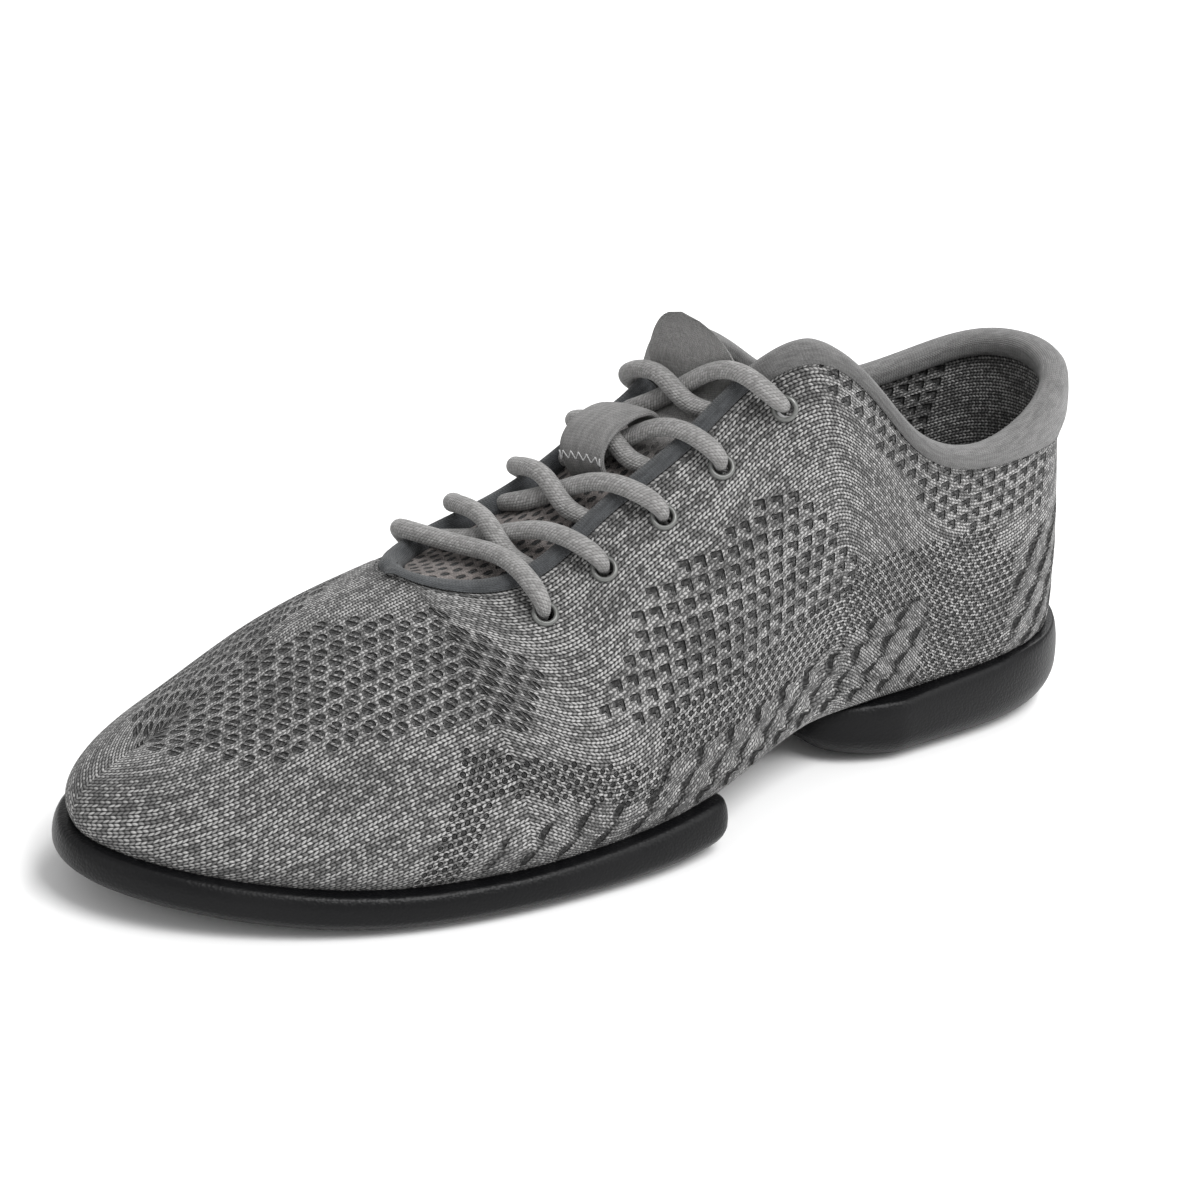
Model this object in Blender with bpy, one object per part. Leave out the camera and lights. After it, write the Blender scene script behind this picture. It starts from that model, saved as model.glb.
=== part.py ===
"""Dance sneaker, left shoe: a knitted upper on a split sole, standing empty and unbent.

Metres, +Z up. +X runs to the toe and +Y to the outer (lateral) side. The origin is on the floor, at the
middle of the overall length and of the ball width.
"""
import math
from collections import namedtuple

import bmesh
import bpy
import numpy as np
from mathutils import Matrix, Vector

# Driving sizes of the whole shoe
LENGTH = 0.280
BALL_WIDTH = 0.104
HEEL_STACK = 0.0150
TOE_HEIGHT = 0.0455
INSTEP_HEIGHT = 0.0665
COLLAR_HEIGHT = 0.1145
ANKLE_HEIGHT = 0.080
HEEL_HEIGHT = 0.091

# Walls, gaps and edges
GAP = 0.0003
WALL = 0.0022
CORNER_RADIUS = 0.0088
FLANGE = 0.0125
TAPE_WIDTH = 0.0145
TAPE_THICKNESS = 0.0016
INSOLE_THICKNESS = 0.0030
SOLE_LIP = 0.0030
LIP_CROWN = 0.0022
EDGE_ROUND = 0.0095

# Tread: a dimple and two turning rings round the pivot of each pad
GROOVE_WIDTH = 0.0018
GROOVE_DEPTH = 0.0008
DIMPLE_RADIUS = 0.0057
DIMPLE_DEPTH = 0.0022
INNER_RING = 0.0140
OUTER_RING = 0.0203

# Tongue, loop and bindings
TONGUE_THICKNESS = 0.0030
TONGUE_HALF_WIDTH = 0.0230
TONGUE_CROWN = 0.0022
TONGUE_RISE = 0.0175
TONGUE_TILT = -0.10
LOOP_WIDTH = 0.0098
LOOP_THICKNESS = 0.0013
LOOP_REACH = 0.0079
BINDING_THICKNESS = 0.0014
BINDING_DEPTH = 0.0040
BINDING_GAP = 0.00045
CRESCENT_DEPTH = 0.0180
CRESCENT_EXTRA = 0.0009

# Lacing
EYELET_OUTER = 0.00325
EYELET_HOLE = 0.00200
EYELET_BARREL = 0.00245
EYELET_SEAT = 0.00060
EYELET_HEIGHT = 0.00140
EYELET_INSET = 0.0115
EYELET_COUNT = 5
FIRST_EYELET = 0.6095
LAST_EYELET = 0.3755
MEDIAL_SHIFT = 0.0330
LACE_DIAMETER = 0.0046

# Mesh fineness
STEPS_PER_ROW = 2
ARC_STEPS = 3
WALL_STEPS = 6
TUBE_SIDES = 8
TURN_SIDES = 12

UPPER_LENGTH = LENGTH - 2 * (SOLE_LIP + GAP)
HALF_BALL = BALL_WIDTH / 2 - SOLE_LIP - GAP
HEEL_X = -UPPER_LENGTH / 2
HEIGHTS = {
    "toe": TOE_HEIGHT,
    "instep": INSTEP_HEIGHT,
    "collar": COLLAR_HEIGHT,
    "ankle": ANKLE_HEIGHT,
    "heel": HEEL_HEIGHT,
}

# The foot of the upper, a row for each section from the heel back to the toe tip. along is a share of the
# upper's length, lateral and medial of half its ball width. lean is the wall's outward lean at the foot in
# degrees. The pulls are the wall curve's handles as shares of its chord. lip is the pad's lip as a share of
# the corner radius, and arch says how far the underside reaches in to the tape.
Foot = namedtuple("Foot", "name along lateral medial lean foot_pull top_pull lip arch")
FEET = (
    Foot("heel_back", 0.0000, 0.000, 0.000, 1, 0.36, 0.34, 0.74, 0.0),
    Foot("heel_corner", 0.0280, 0.370, -0.370, 1, 0.36, 0.34, 0.72, 0.0),
    Foot("heel_side", 0.0790, 0.540, -0.540, 3, 0.36, 0.34, 0.66, 0.0),
    Foot("heel_middle", 0.1450, 0.598, -0.595, 5, 0.36, 0.34, 0.52, 0.0),
    Foot("breast", 0.2080, 0.608, -0.598, 6, 0.35, 0.34, 0.36, 0.2),
    Foot("shank_rear", 0.2660, 0.622, -0.588, 6, 0.34, 0.33, 0.20, 0.9),
    Foot("shank", 0.3260, 0.668, -0.582, 6, 0.33, 0.32, 0.20, 1.0),
    Foot("waist_rear", 0.3840, 0.772, -0.598, 6, 0.33, 0.31, 0.26, 1.0),
    Foot("waist", 0.4420, 0.890, -0.645, 7, 0.33, 0.31, 0.34, 1.0),
    Foot("waist_front", 0.5150, 0.990, -0.742, 9, 0.33, 0.31, 0.42, 0.9),
    Foot("ball_rear", 0.5960, 1.016, -0.872, 10, 0.33, 0.31, 0.42, 0.2),
    Foot("ball", 0.6760, 0.992, -0.962, 10, 0.31, 0.30, 0.40, 0.0),
    Foot("ball_front", 0.7560, 0.920, -0.996, 10, 0.30, 0.29, 0.40, 0.0),
    Foot("toe_shoulder", 0.8340, 0.775, -0.925, 9, 0.29, 0.28, 0.42, 0.0),
    Foot("toe_side", 0.9040, 0.565, -0.770, 8, 0.29, 0.28, 0.44, 0.0),
    Foot("toe_corner", 0.9640, 0.295, -0.535, 7, 0.30, 0.29, 0.46, 0.0),
    Foot("toe_tip", 1.0000, -0.130, -0.130, 6, 0.31, 0.30, 0.48, 0.0),
)

# The top of each section: the collar and throat edge up to the throat's front, then the ridge of the vamp
# down to the toe, where both sides meet. level names the height that lateral and medial heights are shares
# of, and lean is the wall's inward lean at its top in degrees.
Top = namedtuple("Top", "lateral_along lateral_across medial_along medial_across level lateral_height "
                        "medial_height lean")
TOPS = (
    Top(0.0200, 0.000, 0.0200, 0.000, "heel", 1.000, 1.000, 4),
    Top(0.0430, 0.335, 0.0430, -0.335, "heel", 0.978, 0.978, 5),
    Top(0.0960, 0.510, 0.0960, -0.505, "ankle", 1.045, 1.045, 7),
    Top(0.1650, 0.575, 0.1700, -0.570, "ankle", 1.000, 1.000, 8),
    Top(0.2350, 0.598, 0.2480, -0.585, "ankle", 1.085, 1.050, 9),
    Top(0.3000, 0.585, 0.3260, -0.555, "collar", 0.918, 0.862, 12),
    Top(0.3560, 0.500, 0.3960, -0.460, "collar", 1.008, 0.896, 24),
    Top(0.3910, 0.290, 0.4280, -0.300, "collar", 0.930, 0.850, 50),
    Top(0.4480, 0.262, 0.4780, -0.290, "collar", 0.818, 0.770, 57),
    Top(0.5420, 0.252, 0.5740, -0.290, "instep", 1.170, 1.120, 60),
    Top(0.6340, 0.225, 0.6740, -0.300, "instep", 0.982, 0.990, 66),
    Top(0.7030, -0.080, 0.7030, -0.080, "instep", 1.000, 1.000, 90),
    Top(0.7480, -0.095, 0.7480, -0.095, "instep", 0.942, 0.942, 90),
    Top(0.7980, -0.118, 0.7980, -0.118, "instep", 0.858, 0.858, 90),
    Top(0.8440, -0.142, 0.8440, -0.142, "toe", 1.090, 1.090, 90),
    Top(0.8800, -0.155, 0.8800, -0.155, "toe", 0.965, 0.965, 90),
    Top(0.9050, -0.165, 0.9050, -0.165, "toe", 0.855, 0.855, 90),
)
COLLAR_ROW = 7
THROAT_ROW = 11
SEAM = 0.04
CLOSE_ROWS = ((0, 1), (5, 7.5), (10, 11), (15, 16))
LAST_ROW = len(FEET) - 1

# Underside of the upper and ground face of the pads, as shares of the length and of the heel stack
FLOOR = ((0.00, 1.00), (0.27, 1.00), (0.34, 1.02), (0.40, 0.95), (0.46, 0.78), (0.53, 0.60), (0.60, 0.49),
         (0.68, 0.43), (0.76, 0.43), (0.83, 0.48), (0.90, 0.60), (0.96, 0.76), (1.00, 0.87), (1.05, 1.00))
GROUND = ((-0.05, 0.04), (0.00, 0.02), (0.04, 0.00), (0.24, 0.00), (0.29, 0.10), (0.36, 0.34), (0.42, 0.30),
          (0.48, 0.06), (0.54, 0.00), (0.78, 0.00), (0.84, 0.04), (0.91, 0.18), (0.96, 0.33), (1.05, 0.58))

# Each pad: its pivot, and the rows where its edge leaves the upper's outline on either side. rear gives the
# free edge's corners as shares of the length and of half the ball width.
Pad = namedtuple("Pad", "pivot_along pivot_across lateral_row medial_row corner_lateral corner_medial bow")
FOREFOOT = Pad(0.722, -0.140, 8.5, 10.0, (0.456, 0.900), (0.558, -0.830), 0.012)
HEEL = Pad(0.150, 0.000, 4.5, 4.5, (0.318, 0.580), (0.318, -0.560), 0.010)


def pchip(table, share):
    """Monotone curve through a table of (place, value) rows."""
    places, values = (np.array(column, float) for column in zip(*table))
    steps = np.diff(places)
    rises = np.diff(values) / steps
    slopes = np.zeros(len(places))
    for i in range(1, len(places) - 1):
        if rises[i - 1] * rises[i] > 0:
            first, second = 2 * steps[i] + steps[i - 1], steps[i] + 2 * steps[i - 1]
            slopes[i] = (first + second) / (first / rises[i - 1] + second / rises[i])
    slopes[0], slopes[-1] = rises[0], rises[-1]
    share = float(np.clip(share, places[0], places[-1]))
    i = min(int(np.searchsorted(places, share, side="right")) - 1, len(places) - 2)
    return hermite(values[i], values[i + 1], slopes[i], slopes[i + 1], steps[i], (share - places[i]) / steps[i])


def hermite(start, end, start_slope, end_slope, step, f):
    """Cubic between two knots that lie a step apart."""
    return (start * (1 + 2 * f) * (1 - f) ** 2 + end * f * f * (3 - 2 * f)
            + step * (start_slope * f * (1 - f) ** 2 - end_slope * f * f * (1 - f)))


class Spline:
    """Smooth curve through knots, spaced by their distance in the first columns."""

    def __init__(self, knots, closed, measured):
        self.knots = np.array(knots, float)
        self.closed = closed
        count = len(self.knots)
        following = np.roll(self.knots, -1, axis=0) if closed else self.knots[1:]
        here = self.knots if closed else self.knots[:-1]
        self.steps = np.linalg.norm((following - here)[:, :measured], axis=1)
        rises = (following - here) / self.steps[:, None]
        matrix = np.zeros((count, count))
        target = np.zeros_like(self.knots)
        for i in range(count):
            if not closed and i in (0, count - 1):
                inner = 1 if i == 0 else count - 2
                matrix[i, i], matrix[i, inner] = 2, 1
                target[i] = 3 * rises[0 if i == 0 else -1]
                continue
            before, after = self.steps[i - 1], self.steps[i]
            matrix[i, i - 1] += after
            matrix[i, i] += 2 * (before + after)
            matrix[i, (i + 1) % count] += before
            target[i] = 3 * (after * rises[i - 1] + before * rises[i])
        self.slopes = np.linalg.solve(matrix, target)

    def split(self, place):
        last = len(self.steps) - (0 if self.closed else 1)
        index = math.floor(place) if self.closed else min(max(math.floor(place), 0), last)
        return index % len(self.steps), place - index

    def at(self, place):
        i, f = self.split(place)
        j = (i + 1) % len(self.knots)
        return hermite(self.knots[i], self.knots[j], self.slopes[i], self.slopes[j], self.steps[i], f)

    def slope(self, place):
        return (self.at(place + 0.001) - self.at(place - 0.001)) / 0.002


def unit(vector):
    return vector / np.linalg.norm(vector)


def along(share):
    return HEEL_X + share * UPPER_LENGTH


def across(share):
    return share * HALF_BALL


def floor_height(x):
    """Height of the upper's underside."""
    return HEEL_STACK * pchip(FLOOR, (x - HEEL_X) / UPPER_LENGTH)


def ground_height(x):
    """Height of the pads' ground face: flat under heel and ball, raised at the toe and the waist."""
    return HEEL_STACK * pchip(GROUND, (x - HEEL_X) / UPPER_LENGTH)


def bezier(start, start_handle, end_handle, end, f):
    return ((1 - f) ** 3 * start + 3 * f * (1 - f) ** 2 * start_handle
            + 3 * f * f * (1 - f) * end_handle + f ** 3 * end)


class Last:
    """The outer surface of the upper. side is 1 for lateral and -1 for medial, row runs heel to toe, and
    level runs 0 to 1 over the underside, 1 to 2 round the corner and 2 to 3 up the wall."""

    def __init__(self):
        outer = [(along(f.along), across(f.lateral), *f[4:]) for f in FEET]
        inner = [(along(f.along), across(f.medial), *f[4:]) for f in FEET]
        self.foot = Spline(outer + inner[-2:0:-1], True, 2)
        outer = [(along(t.lateral_along), across(t.lateral_across), HEIGHTS[t.level] * t.lateral_height, t.lean)
                 for t in TOPS]
        inner = [(along(t.medial_along), across(t.medial_across), HEIGHTS[t.level] * t.medial_height, t.lean)
                 for t in TOPS]
        self.opening = Spline(outer[:THROAT_ROW + 1] + inner[THROAT_ROW - 1:0:-1], True, 3)
        self.ridge = Spline(outer[THROAT_ROW:], False, 3)
        self.outline = np.array([self.foot.at(i / 8)[:2] for i in range(16 * LAST_ROW)])

    def foot_at(self, side, row):
        place = row if side > 0 else 2 * LAST_ROW - row
        values = self.foot.at(place)
        tangent = unit(self.foot.slope(place)[:2])
        return values, np.array([-tangent[1], tangent[0]])

    def top_at(self, side, row):
        """Top point, its inward lean and the slope of the ridge where there is one."""
        if row >= THROAT_ROW:
            values = self.ridge.at(row - THROAT_ROW)
            run = self.ridge.slope(min(row - THROAT_ROW, LAST_ROW - THROAT_ROW - 0.01))
            return values[:3], math.radians(90), run[2] / run[0]
        values = self.opening.at(row if side > 0 else 2 * THROAT_ROW - row)
        return values[:3], math.radians(values[3]), None

    def column(self, side, row):
        """What one section needs: its plan normal, feet, wall handles and top."""
        values, normal = self.foot_at(side, row)
        foot, lean, foot_pull, top_pull, arch = values[:2], math.radians(values[2]), values[3], values[4], values[6]
        top, top_lean, ridge_slope = self.top_at(side, row)
        hidden = foot - normal * FLANGE
        at_tape = np.array([foot[0], side * (TAPE_WIDTH / 2 + GAP)])
        inner = hidden + (at_tape - hidden) * float(np.clip(arch, 0, 1))
        start = self.corner(foot, normal, -lean)
        start_run = np.array([*(normal * math.sin(lean)), math.cos(lean)])
        plan = unit(unit(top[:2] - foot) * 0.55 - normal * 0.45)
        end_run = np.array([*(plan * math.sin(top_lean)), math.cos(top_lean)])
        if ridge_slope is not None:
            end_run = unit(np.array([*plan, plan[0] * ridge_slope]))
        chord = np.linalg.norm(top - start)
        handles = (start + start_run * foot_pull * chord, top - end_run * top_pull * chord)
        return foot, normal, inner, lean, start, handles, top, end_run

    def corner(self, foot, normal, angle):
        """Point on the round corner between the underside, at -90 degrees, and the wall."""
        plan = foot + normal * CORNER_RADIUS * (math.cos(angle) - 1)
        return np.array([*plan, floor_height(plan[0]) + CORNER_RADIUS * (1 + math.sin(angle))])

    def points(self, side, row, levels):
        foot, normal, inner, lean, start, handles, top, end_run = self.column(side, row)
        result = []
        for level in levels:
            if level <= 1:
                plan = inner + (foot - normal * CORNER_RADIUS - inner) * level
                result.append(np.array([*plan, floor_height(plan[0])]))
            elif level <= 2:
                angle = -math.pi / 2 + (math.pi / 2 - lean) * (level - 1)
                result.append(self.corner(foot, normal, angle))
            else:
                result.append(bezier(start, *handles, top, level - 2))
        return np.array(result)

    def normal(self, side, row, level):
        """Outward normal, from small steps to either side."""
        step = 0.02
        low, high = max(level - step, 0), min(level + step, 3)
        up = np.subtract(*self.points(side, row, (high, low)))
        before, after = max(row - step, 0), min(row + step, LAST_ROW)
        if row < THROAT_ROW < after and level > 2.5:
            after = row
        if before < THROAT_ROW <= row and level > 2.5:
            before = row
        run = self.points(side, after, (level,))[0] - self.points(side, before, (level,))[0]
        if row in (0, LAST_ROW):
            inside = abs(row - step)
            run = self.points(1, inside, (min(level, 2.9),))[0] - self.points(-1, inside, (min(level, 2.9),))[0]
            run = run * (1 if row == 0 else -1)
        if level == 3 and row >= THROAT_ROW:
            other = np.subtract(*self.points(-side, row, (high, low)))
            up = unit(up) - unit(other) if row < LAST_ROW else up
        return unit(np.cross(up, run)) * (1 if side > 0 or row in (0, LAST_ROW) else -1)

    def below_top(self, side, row, distance):
        """Point and normal at a distance down the wall from its top; a negative one runs past the edge."""
        column = self.column(side, row)
        if distance <= 0:
            return column[6] - column[7] * distance, self.normal(side, row, 3)
        levels = np.linspace(3, 2, 61)
        points = self.points(side, row, levels)
        lengths = np.concatenate([[0], np.cumsum(np.linalg.norm(np.diff(points, axis=0), axis=1))])
        level = float(np.interp(distance, lengths, levels))
        return self.points(side, row, (level,))[0], self.normal(side, row, level)

    def rim(self, side, row):
        """Edge point, normal and the way square to the edge on to the wall."""
        point, normal = self.below_top(side, row, 0)
        run = self.opening.slope(row if side > 0 else 2 * THROAT_ROW - row)[:3]
        return point, normal, unit(np.cross(normal, run))

    def row_at(self, side, x, distance, low, high):
        """Row whose point at a distance below the top has the given x."""
        for _ in range(30):
            middle = (low + high) / 2
            if self.below_top(side, middle, distance)[0][0] < x:
                low = middle
            else:
                high = middle
        return (low + high) / 2

    def depth_inside(self, x, y):
        """Signed plan distance inside the upper's outline."""
        start = self.outline
        run = np.roll(start, -1, axis=0) - start
        offset = np.array([x, y]) - start
        share = np.clip((offset * run).sum(1) / (run * run).sum(1), 0, 1)
        distance = np.linalg.norm(offset - run * share[:, None], axis=1).min()
        crossing = (start[:, 1] > y) != (np.roll(start[:, 1], -1) > y)
        with np.errstate(divide="ignore", invalid="ignore"):
            hits = start[:, 0] + run[:, 0] * (y - start[:, 1]) / run[:, 1] > x
        return distance if np.count_nonzero(crossing & hits) % 2 else -distance


def material(name, colour, roughness, metallic=0.0):
    made = bpy.data.materials.new(name)
    made.use_nodes = True
    shader = made.node_tree.nodes["Principled BSDF"]
    shader.inputs["Base Color"].default_value = (*colour, 1)
    shader.inputs["Roughness"].default_value = roughness
    shader.inputs["Metallic"].default_value = metallic
    return made


def new_object(name, mesh, finish):
    made = bpy.data.objects.new(name, mesh)
    made.data.materials.append(finish)
    bpy.context.scene.collection.objects.link(made)
    return made


def mesh_object(name, points, faces, finish, weld=1e-6):
    """Closed mesh from points and faces, welded, facing out and shaded smooth."""
    mesh = bpy.data.meshes.new(name)
    mesh.from_pydata([tuple(map(float, p)) for p in points], [], faces)
    work = bmesh.new()
    work.from_mesh(mesh)
    bmesh.ops.remove_doubles(work, verts=work.verts, dist=weld)
    bmesh.ops.dissolve_degenerate(work, dist=weld, edges=work.edges)
    bmesh.ops.recalc_face_normals(work, faces=work.faces)
    work.to_mesh(mesh)
    work.free()
    mesh.shade_smooth()
    mesh.set_sharp_from_angle(angle=math.radians(40))
    return new_object(name, mesh, finish)


def bridge(first, second, closed=True):
    """Quads between two runs of point numbers."""
    count = len(first) if closed else len(first) - 1
    return [(first[i], first[(i + 1) % len(first)], second[(i + 1) % len(first)], second[i])
            for i in range(count)]


def loft(name, rings, finish):
    """Solid through closed rings of points, with a flat cap at each end."""
    points = [p for ring in rings for p in ring]
    size = len(rings[0])
    numbers = [list(range(i * size, (i + 1) * size)) for i in range(len(rings))]
    faces = [face for a, b in zip(numbers, numbers[1:]) for face in bridge(a, b)]
    faces += [tuple(numbers[0]), tuple(numbers[-1])]
    return mesh_object(name, points, faces, finish)


def section_rows():
    """Rows of the upper's sections, closer at heel and toe, over the hump and round the throat."""
    rows = {i / STEPS_PER_ROW for i in range(LAST_ROW * STEPS_PER_ROW + 1)}
    for start, end in CLOSE_ROWS:
        rows |= {start + i / 4 for i in range(round((end - start) * 4) + 1)}
    return sorted(rows)


def both_sides(rows):
    """Places up the lateral side along rows and back down the medial side, the last row taken once."""
    return [(1, row) for row in rows] + [(-1, row) for row in rows[-2::-1]]


def build_upper(last, finish):
    levels = [0, 1] + [1 + (i + 1) / ARC_STEPS for i in range(ARC_STEPS)]
    levels += [2 + (i + 1) / WALL_STEPS for i in range(WALL_STEPS)]
    places = both_sides(section_rows())[:-1]
    outer = [last.points(side, row, levels) for side, row in places]
    inner = [[p - WALL * last.normal(side, row, level) for p, level in zip(column, levels)]
             for column, (side, row) in zip(outer, places)]
    height, count = len(levels), len(places)
    points = [p for column in outer for p in column] + [p for column in inner for p in column]
    skin = [[i * height + j for i in range(count)] for j in range(height)]
    lining = [[count * height + number for number in ring] for ring in skin]
    faces = [f for shell in (skin, lining) for a, b in zip(shell, shell[1:]) for f in bridge(a, b)]
    faces += bridge(skin[0], lining[0])
    for i, (side, row) in enumerate(places):
        after = (i + 1) % count
        if max(row, places[after][1]) <= THROAT_ROW:
            faces.append((skin[-1][i], skin[-1][after], lining[-1][after], lining[-1][i]))
    return mesh_object("upper", points, faces, finish)


def quadratic(start, corner, end, f):
    return (1 - f) ** 2 * start + 2 * f * (1 - f) * corner + f * f * end


def pad_edge(last, pad, forward):
    """Outermost edge of a pad: (plan point, lip share, how far it stands on the upper's wall)."""
    top = LAST_ROW if forward else 0
    spread = SOLE_LIP + GAP
    edge = []
    for side, leave in ((1, pad.lateral_row), (-1, pad.medial_row)):
        run = []
        for row in section_rows()[::1 if forward else -1]:
            if min(leave, top) <= row <= max(leave, top):
                values, normal = last.foot_at(side, row)
                run.append((values[:2] + normal * spread, float(values[5]), 1.0))
        edge.append(run)
    edge = edge[0] + edge[1][-2::-1]
    (start, lip, _), (end, end_lip, _) = edge[-1], edge[0]
    corners = [np.array([along(c[0]), across(c[1])]) for c in (pad.corner_medial, pad.corner_lateral)]
    rim = unit(corners[1] - corners[0])
    outward = np.array([-1.0, 0.0]) if forward else np.array([1.0, 0.0])
    turn = [corners[0] + rim * across(0.22), corners[1] - rim * across(0.22)]
    for i in range(1, 5):
        f = i / 4
        edge.append((quadratic(start, corners[0], turn[0], f), lip, 1 - f * f * (3 - 2 * f)))
    for i in range(1, 6):
        f = i / 6
        bow = outward * pad.bow * UPPER_LENGTH * 4 * f * (1 - f) * 0.5
        edge.append((turn[0] + (turn[1] - turn[0]) * f + bow, 0.0, 0.0))
    for i in range(4):
        f = i / 4
        edge.append((quadratic(turn[1], corners[1], end, f), end_lip, f * f * (3 - 2 * f)))
    return edge


def build_pad(last, name, pad, forward, finish):
    """Rubber pad with a bullnosed edge, a lip round the upper and its seat cut to the upper's underside."""
    pivot = np.array([along(pad.pivot_along), across(pad.pivot_across)])
    edge = pad_edge(last, pad, forward)
    plans = np.array([e[0] for e in edge])
    runs = np.roll(plans, -1, axis=0) - np.roll(plans, 1, axis=0)
    normals = np.stack([-runs[:, 1], runs[:, 0]], 1) / np.linalg.norm(runs, axis=1)[:, None]
    normals *= np.sign(((plans - pivot) * normals).sum(1))[:, None]
    reach = ((plans - pivot) * normals).sum(1)

    def seat(plan):
        depth = last.depth_inside(*plan)
        low = floor_height(plan[0])
        if depth >= CORNER_RADIUS:
            return low - GAP
        inner = (CORNER_RADIUS + GAP) ** 2 - (CORNER_RADIUS - max(depth, 0.02 * CORNER_RADIUS)) ** 2
        return low + CORNER_RADIUS - math.sqrt(inner)

    rings = []
    columns = []
    for plan, normal, far, (_, lip, wall) in zip(plans, normals, reach, edge):
        def inset(depth):
            return plan + (pivot - plan) * min(depth / far, 1)
        base = ground_height(plan[0])
        low = floor_height(plan[0]) - GAP
        crest = low + (lip * CORNER_RADIUS + GAP) * wall
        middle = base + 0.50 * (crest - base)
        column = []
        for degrees in (90, 55, 18):
            a = math.radians(degrees)
            p = inset(EDGE_ROUND * (1 - math.cos(a)))
            column.append((p, middle - (middle - ground_height(p[0])) * math.sin(a)))
        for degrees in (35, 90):
            a = math.radians(degrees)
            p = inset(LIP_CROWN * (1 - math.cos(a)))
            column.append((p, min(middle + (crest - middle) * math.sin(a), seat(p))))
        near, deep = LIP_CROWN + 0.0004, LIP_CROWN + 0.0004 + 3 * CORNER_RADIUS
        for _ in range(24):
            half = (near + deep) / 2
            if seat(inset(half)) > crest:
                near = half
            else:
                deep = half
        brim = near
        column.append((inset(brim), min(crest, seat(inset(brim)))))
        flat = max(SOLE_LIP + GAP + CORNER_RADIUS * 1.02, brim + 0.004)
        for f in (0.2, 0.5, 1.0):
            p = inset(brim + (flat - brim) * f)
            column.append((p, seat(p)))
        columns.append(column)
    for level in range(len(columns[0])):
        rings.append([(*column[level][0], column[level][1]) for column in columns])
    seat_rim = np.array([column[-1][0] for column in columns])
    for share in (0.84, 0.68, 0.50, 0.26):
        ring = pivot + (seat_rim - pivot) * share
        rings.append([(*p, floor_height(p[0]) - GAP) for p in ring])

    bearing = unit_rows(plans - pivot)
    ground = []
    half = GROOVE_WIDTH / 2
    turned = [(DIMPLE_RADIUS * 0.45, DIMPLE_DEPTH * 0.86), (DIMPLE_RADIUS * 0.8, DIMPLE_DEPTH * 0.42),
              (DIMPLE_RADIUS, 0)]
    for radius in (INNER_RING, OUTER_RING):
        turned += [(radius - half, 0), (radius, GROOVE_DEPTH), (radius + half, 0)]
    for radius, depth in turned:
        plan = pivot + bearing * radius
        ground.append([(*p, ground_height(p[0]) + depth) for p in plan])

    count = len(plans)
    rings = ground + rings
    points = [p for ring in rings for p in ring]
    numbers = [list(range(i * count, (i + 1) * count)) for i in range(len(rings))]
    faces = [f for a, b in zip(numbers, numbers[1:]) for f in bridge(a, b)]
    for ring, height in ((numbers[0], ground_height(pivot[0]) + DIMPLE_DEPTH),
                         (numbers[-1], floor_height(pivot[0]) - GAP)):
        points.append((*pivot, height))
        faces += [(ring[i], ring[(i + 1) % count], len(points) - 1) for i in range(count)]
    return mesh_object(name, points, faces, finish)


def unit_rows(vectors):
    return vectors / np.linalg.norm(vectors, axis=1)[:, None]


def build_tape(finish):
    """Ribbed tape between the pads, in the slot along the upper's underside."""
    rings = []
    for i in range(15):
        x = along(0.305 + (0.585 - 0.305) * i / 14)
        low, half = floor_height(x), TAPE_WIDTH / 2
        rings.append([(x, -half, low), (x, half, low), (x, half, low + TAPE_THICKNESS),
                      (x, -half, low + TAPE_THICKNESS)])
    return loft("arch_tape", rings, finish)


def build_insole(last, finish):
    """Footbed that lies on the upper's turned-in edge, with its rim rounded to the inner corner."""
    radius = CORNER_RADIUS - WALL - GAP
    rise = WALL + GAP
    rows = [0.35 + i * 0.75 for i in range(21)]
    rings = []
    for row in rows:
        ring = []
        for side, order in ((-1, 1), (1, -1)):
            values, normal = last.foot_at(side, row)
            edge = []
            for angle in (-90, -55, -28):
                a = math.radians(angle)
                plan = values[:2] + normal * (radius * math.cos(a) - CORNER_RADIUS - 3 * GAP)
                low = floor_height(plan[0]) + rise
                edge.append((*plan, low + min(radius * (1 + math.sin(a)), INSOLE_THICKNESS)))
            ring += edge[::order]
        ring += [(ring[5][0], 0.0, floor_height(ring[5][0]) + rise)]
        middle = (ring[2][0] + ring[3][0]) / 2
        ring.insert(3, (middle, 0.0, floor_height(middle) + rise + INSOLE_THICKNESS))
        rings.append(ring)
    return loft("insole", rings, finish)


class Throat:
    """Places over the gap between the two eyelet rows, and on the tongue under it."""

    def __init__(self, last):
        self.last = last

    def row_pair(self, row):
        """Edge points of both sides, their middle and the way up there."""
        edges, ups = zip(*(self.last.below_top(side, row, 0) for side in (1, -1)))
        return edges[0], edges[1], (edges[0] + edges[1]) / 2, unit(ups[0] + ups[1])

    def tongue(self, row, offset):
        """Point and normal on the tongue's outer face, offset across from the centre line."""
        side = 1 if offset >= 0 else -1
        lateral, medial, middle, up = self.row_pair(row)
        edge = lateral if side > 0 else medial
        gap = np.linalg.norm(lateral - medial) / 2
        sink = WALL + 3 * GAP
        distance = abs(offset)
        if distance > gap:
            point, normal = self.last.below_top(side, row, distance - gap)
            return point - normal * sink, normal
        share = distance / gap if gap > 1e-5 else 0
        _, edge_up = self.last.below_top(side, row, 0)
        crown = TONGUE_CROWN * min(1, gap / TONGUE_CROWN / 4) * (1 - share ** 2) ** 2
        normal = unit(up + (edge_up - up) * share)
        return middle + (edge - middle) * share - normal * sink + up * crown, normal


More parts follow.
